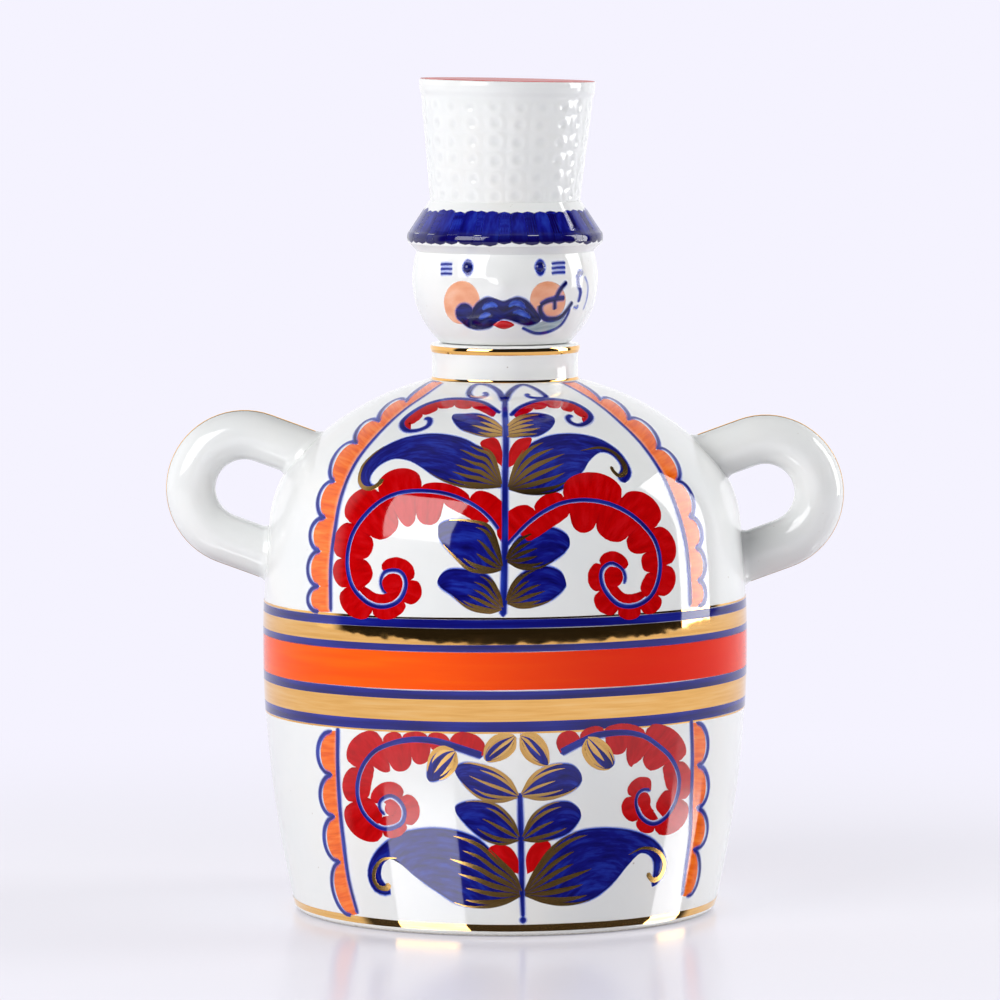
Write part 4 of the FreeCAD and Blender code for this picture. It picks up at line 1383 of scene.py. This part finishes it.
ring(collar_gold, NECK_HEIGHT + NECK_LINE[0], NECK_HEIGHT + NECK_LINE[1], wobble=0.02)

fills.piece("leaf_paint", cobalt, "decanter", "cobalt_paint")
curl_reds.piece("curl_paint", red, "decanter", "red_enamel")
reds.piece("scroll_paint", red, "decanter", "red_enamel")
oranges.piece("lobe_paint", orange, "decanter", "orange_enamel")
lines.piece("line_paint", cobalt_line, "decanter", "cobalt_paint")
golds.piece("vein_gilding", vein_gold, "decanter", "gold_lustre")
belt_cobalt.piece("belt_lines", belt_cobalt_paint, "decanter", "cobalt_paint")
belt_middle.piece("belt_band", belt_orange, "decanter", "orange_enamel")
belt_gold.piece("belt_gilding", gold, "decanter", "gold_lustre")
collar_gold.piece("collar_gilding", gold, "decanter", "gold_lustre")


# The face and the brim

face_fills = Paint(face_skin, 0.03)
face_wash = Paint(face_skin, 0.04)
face_blue = Paint(face_skin, 0.06, SOFT_COBALT)
face_mouth = Paint(face_skin, 0.08, SOFT_COBALT)
face_pale = Paint(face_skin, 0.1, SOFT_COBALT)
face_beads = Paint(face_skin, 0.08, SOFT_COBALT)
face_red = Paint(face_skin, 0.1)
brim_paints = (Paint(face_skin, 0.04, SOFT_COBALT), Paint(face_skin, 0.08, SOFT_COBALT))


def cheeks_and_eyes():
    blob(face_fills, center=(462, 302.5), size=(18.4, 22))
    blob(face_fills, center=(547.8, 300), size=(18.2, 19.3))
    blob(face_blue, center=(468, 267.5), size=(4.4, 7.8))
    blob(face_blue, center=(540.3, 267.5), size=(4.4, 7.6))
    blob(face_beads, center=(467.6, 267.5), size=(4.4, 4.8), bulge=0.8)
    blob(face_beads, center=(540.0, 266.8), size=(4.4, 4.8), bulge=0.8)
    for row in (264.4, 269.1, 273.8):
        stroke(face_blue, [(440.5, row), (446.5, row - 0.3), (452.5, row)], [0.5, 0.45, 0.35], 12)
        stroke(face_blue, [(551.5, row - 0.6), (558, row - 1.4), (565.5, row - 1.6)], [0.35, 0.45, 0.5], 12)


def moustache_and_mouth():
    fill(
        face_mouth,
        first=[(465, 322), (471, 315), (474, 307), (479, 301.5), (487, 297.5), (496, 299),
            (503.4, 301.5), (511, 298.8), (518.7, 297.2), (528, 301.5), (535.5, 310.5), (541, 319.5)],
        second=[(465, 322), (470, 327), (479.5, 329.3), (490, 327.3), (496.7, 322), (503.4, 318.7),
            (512, 320.5), (521.5, 324), (531, 325), (541, 319.5)],
        count=60)
    blob(face_mouth, center=(464.6, 312.8), size=(8.4, 9.2))
    stroke(
        face_mouth, points=[(462, 317), (467, 323), (475, 326), (484, 325)], widths=[2.0, 2.6, 2.4, 1.0],
        count=24)
    streaks = (
        [(482, 310), (487, 305.5), (493, 304.5), (498, 307)], [(479, 319), (485, 315), (491, 313.5)],
        [(508, 307), (514, 303), (521, 304), (526, 309)], [(512, 313), (519, 312), (526, 315), (531, 318)],
    )
    for points in streaks:
        stroke(face_pale, points, [0.5, 1.7, 1.9, 0.6], 20)
    fill(
        face_red, first=[(493, 324.6), (498.5, 321.4), (503.4, 320.7), (509, 321.4), (514.3, 324.6)],
        second=[(493, 324.6), (497.8, 327.6), (504, 329), (510, 327.6), (514.3, 324.6)], count=24,
        bulge=0.35)


def pipe():
    fill(
        face_wash, first=[(521, 326), (532, 324), (545, 320), (558, 318), (567, 311)],
        second=[(521, 327), (534, 333), (547, 332), (559, 326), (567, 311)], count=24)
    stroke(
        face_blue,
        points=[(522, 327.7), (534.7, 333), (547.3, 332), (560, 325.6), (567.2, 315), (569.5, 308)],
        widths=[0.5, 0.8, 0.9, 0.8, 0.6], count=40)
    stroke(
        face_mouth, points=[(540, 305), (547, 301), (555.7, 298.8), (565, 297.8)],
        widths=[1.2, 1.3, 1.3, 1.1], count=24)
    stroke(
        face_mouth,
        points=[(540, 304.6), (540.4, 312), (545, 318.3), (552.5, 319.3), (560, 317), (566, 311),
            (572.5, 301.5)],
        widths=[1.2, 1.4, 1.5, 1.3, 1.0], count=40)
    stroke(face_mouth, points=[(567, 281.5), (560, 290), (555.5, 299)], widths=[1.0, 1.2, 1.1], count=16)
    stroke(face_mouth, points=[(554.6, 300), (554.6, 310)], widths=[0.9, 0.8], count=10)
    stroke(
        face_blue, points=[(577.5, 275), (580.4, 272.6), (582.5, 275)], widths=[1.2, 1.5, 1.0], count=12)
    stroke(
        face_blue, points=[(577.5, 274), (578.3, 284.7), (580.4, 292), (578.3, 302.5)],
        widths=[1.1, 0.9, 1.1, 0.8], count=24)
    stroke(
        face_pale, points=[(584.6, 276.3), (587.7, 285.7), (586.7, 298.3), (583, 309.9)],
        widths=[0.2, 0.4, 0.4, 0.2], count=24)
    stroke(
        face_pale, points=[(573.5, 306.7), (576.7, 307.8), (577.7, 304.6)], widths=[0.4, 0.6, 0.5],
        count=12)


BRIM_DABS = 44
LONG_DAB = 43
BRIM_COAT_LOW = SEAT + 27.6
BRIM_COAT_HIGH = SEAT + 34.6
DAB_LOW = SEAT + 26.9
DAB_HIGH = SEAT + 35.3


def brim_dabs():
    """Upright dabs of cobalt side by side round the brim, deeper in colour towards its edge."""
    ring(brim_paints[0], BRIM_COAT_LOW, BRIM_COAT_HIGH, wobble=0.2)
    length = face_skin.length_at
    for k in range(BRIM_DABS):
        middle = 2 * math.pi * (k + RANDOM.uniform(-0.1, 0.1)) / BRIM_DABS
        low = DAB_LOW - RANDOM.uniform(0, 0.7) - 0.5 * (k == LONG_DAB)
        high = DAB_HIGH + RANDOM.uniform(-0.3, 0.3)
        share = np.linspace(0, 1, 25)
        s = length(high) + (length(low) - length(high)) * share
        wide = (1.9 + 0.5 * share) * np.sqrt(np.clip(1 - np.abs(2 * share - 1) ** 7, 0, 1))
        half_turn = wide / face_skin.radius(s)
        left, right = (middle - half_turn, s), (middle + half_turn, s)
        fill_on(brim_paints[k % 2], left, right, columns=7, deep=share[:, None])


cheeks_and_eyes()
moustache_and_mouth()
pipe()
brim_dabs()

face_fills.piece("cheeks", salmon, "stopper", "orange_enamel")
face_wash.piece("pipe_wash", wash, "stopper", "cobalt_paint")
face_blue.piece("face_lines", cobalt_line, "stopper", "cobalt_paint")
face_mouth.piece("moustache", cobalt_dark, "stopper", "cobalt_paint")
face_pale.piece("moustache_streaks", cobalt_pale, "stopper", "cobalt_paint")
face_beads.piece("eyes", cobalt_dark, "stopper", "cobalt_paint")
face_red.piece("lips", red, "stopper", "red_enamel")
for number, coat in enumerate(brim_paints):
    coat.piece(f"brim_dabs_{number}", brim_cobalt, "stopper", "cobalt_paint")


# Floor, light and camera

BACKDROP = color(0.913, 0.896, 1.0)
FLOOR_RADIUS = 1.25
FLOOR_SIDES = 96
FLOOR_PALE = (0.08, 0.40)
FLOOR_POLISH = (0.13, 0.20)
FIGURE_MIDDLE = np.array((0, 0, 0.11))


def floor_piece():
    """A round pale floor. Away from the object, and in reflections, it takes the backdrop's colour."""
    mesh = bpy.data.meshes.new("floor")
    turns = np.arange(FLOOR_SIDES) * 2 * math.pi / FLOOR_SIDES
    rim = [(FLOOR_RADIUS * math.cos(a), FLOOR_RADIUS * math.sin(a), 0.0) for a in turns]
    mesh.from_pydata(rim, [], [tuple(range(FLOOR_SIDES))])
    material, tree = new_material("floor")
    place = node(tree, "ShaderNodeTexCoord").outputs["Object"]
    shade = ramp(tree, noise(tree, place, 3.0), [
        (0.3, color(0.80, 0.79, 0.84)), (0.7, color(0.84, 0.83, 0.88))])
    lit = node(tree, "ShaderNodeBsdfPrincipled", {"Base Color": shade, "Roughness": 0.18})
    pale = node(tree, "ShaderNodeEmission", {"Color": BACKDROP})
    distance = node(tree, "ShaderNodeVectorMath", {0: place}, operation="LENGTH").outputs["Value"]
    rays = node(tree, "ShaderNodeLightPath").outputs
    seen = math_node(tree, "MAXIMUM", rays["Is Camera Ray"], rays["Is Glossy Ray"])
    share = math_node(tree, "MULTIPLY", seen, span(tree, distance, *FLOOR_PALE, 0.35, 1.0))
    polish = node(tree, "ShaderNodeBsdfGlossy", {"Color": color(0.80, 0.80, 0.82), "Roughness": 0.04})
    polished = span(tree, distance, *FLOOR_POLISH, 0.94, 0.0)
    near = math_node(tree, "MULTIPLY", rays["Is Glossy Ray"], polished)
    finish_material(tree, mix_shaders(tree, near, mix_shaders(tree, share, lit, pale), polish))
    mesh.materials.append(material)
    floor = bpy.data.objects.new("floor", mesh)
    bpy.context.scene.collection.objects.link(floor)
    floor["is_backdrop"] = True


def studio_world():
    """A pale backdrop behind and at the sides, a dim ceiling and a dark room on the camera's side."""
    world = bpy.data.worlds.new("studio")
    bpy.context.scene.world = world
    world.use_nodes = True
    tree = world.node_tree
    tree.nodes.clear()
    direction = node(tree, "ShaderNodeTexCoord").outputs["Generated"]
    split = node(tree, "ShaderNodeSeparateXYZ", {"Vector": direction})
    leftward = math_node(tree, "MULTIPLY", split.outputs["X"], -0.3)
    behind = math_node(tree, "ADD", leftward, math_node(tree, "MULTIPLY", split.outputs["Y"], 0.95))
    depth = span(tree, behind, 0.16, 0.32, 0.02, 1.12)
    rise = span(tree, split.outputs["Z"], 0.45, 0.8, 1.0, 0.1)
    ceiling = span(tree, split.outputs["Z"], 0.8, 0.97, 0.0, 0.2)
    level = math_node(tree, "ADD", math_node(tree, "MULTIPLY", depth, rise), ceiling)
    light = node(tree, "ShaderNodeBackground", {"Color": color(0.96, 0.96, 1.0), "Strength": level})
    backdrop = node(tree, "ShaderNodeBackground", {"Color": BACKDROP, "Strength": 1.0})
    camera_ray = node(tree, "ShaderNodeLightPath").outputs["Is Camera Ray"]
    surface = mix_shaders(tree, camera_ray, light, backdrop)
    node(tree, "ShaderNodeOutputWorld", {"Surface": surface.outputs[0]})


def aim(holder, place, target):
    forward = (target - place) / np.linalg.norm(target - place)
    right = np.cross(forward, (0, 0, 1))
    right /= np.linalg.norm(right)
    up = np.cross(right, forward)
    rows = [(right[k], up[k], -forward[k], place[k]) for k in range(3)]
    holder.matrix_world = Matrix((*rows, (0, 0, 0, 1)))


def softbox(name, azimuth, elevation, distance, width, height, power):
    """An area light aimed at the figure's middle. Azimuth 0 is the front, and positive is to the right."""
    lamp = bpy.data.lights.new(name, "AREA")
    lamp.shape = "RECTANGLE"
    lamp.size, lamp.size_y = width, height
    lamp.energy = power
    holder = bpy.data.objects.new(name, lamp)
    holder.visible_camera = False
    bpy.context.scene.collection.objects.link(holder)
    a, e = math.radians(azimuth), math.radians(elevation)
    away = np.array((math.sin(a) * math.cos(e), -math.cos(a) * math.cos(e), math.sin(e)))
    aim(holder, FIGURE_MIDDLE + away * distance, FIGURE_MIDDLE)
    return holder


def camera():
    data = bpy.data.cameras.new("camera")
    data.sensor_width = SENSOR
    data.lens = FOCAL * SENSOR / FRAME_SIZE
    data.clip_end = 100.0
    holder = bpy.data.objects.new("camera", data)
    bpy.context.scene.collection.objects.link(holder)
    aim(holder, CAMERA_PLACE * MM, CAMERA_AIM * MM)
    bpy.context.scene.camera = holder


floor_piece()
studio_world()
softbox("softbox_left", azimuth=-43, elevation=24.5, distance=1.3, width=0.84, height=0.87, power=14.0)
softbox("softbox_right", azimuth=101, elevation=17, distance=1.2, width=0.48, height=1.1, power=11.5)
fill_light = softbox(
    "softbox_fill", azimuth=30, elevation=15, distance=2.0, width=1.2, height=1.2, power=6.0)
fill_light.visible_glossy = False
camera()
bpy.context.scene.view_settings.view_transform = "Standard"

low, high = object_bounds()
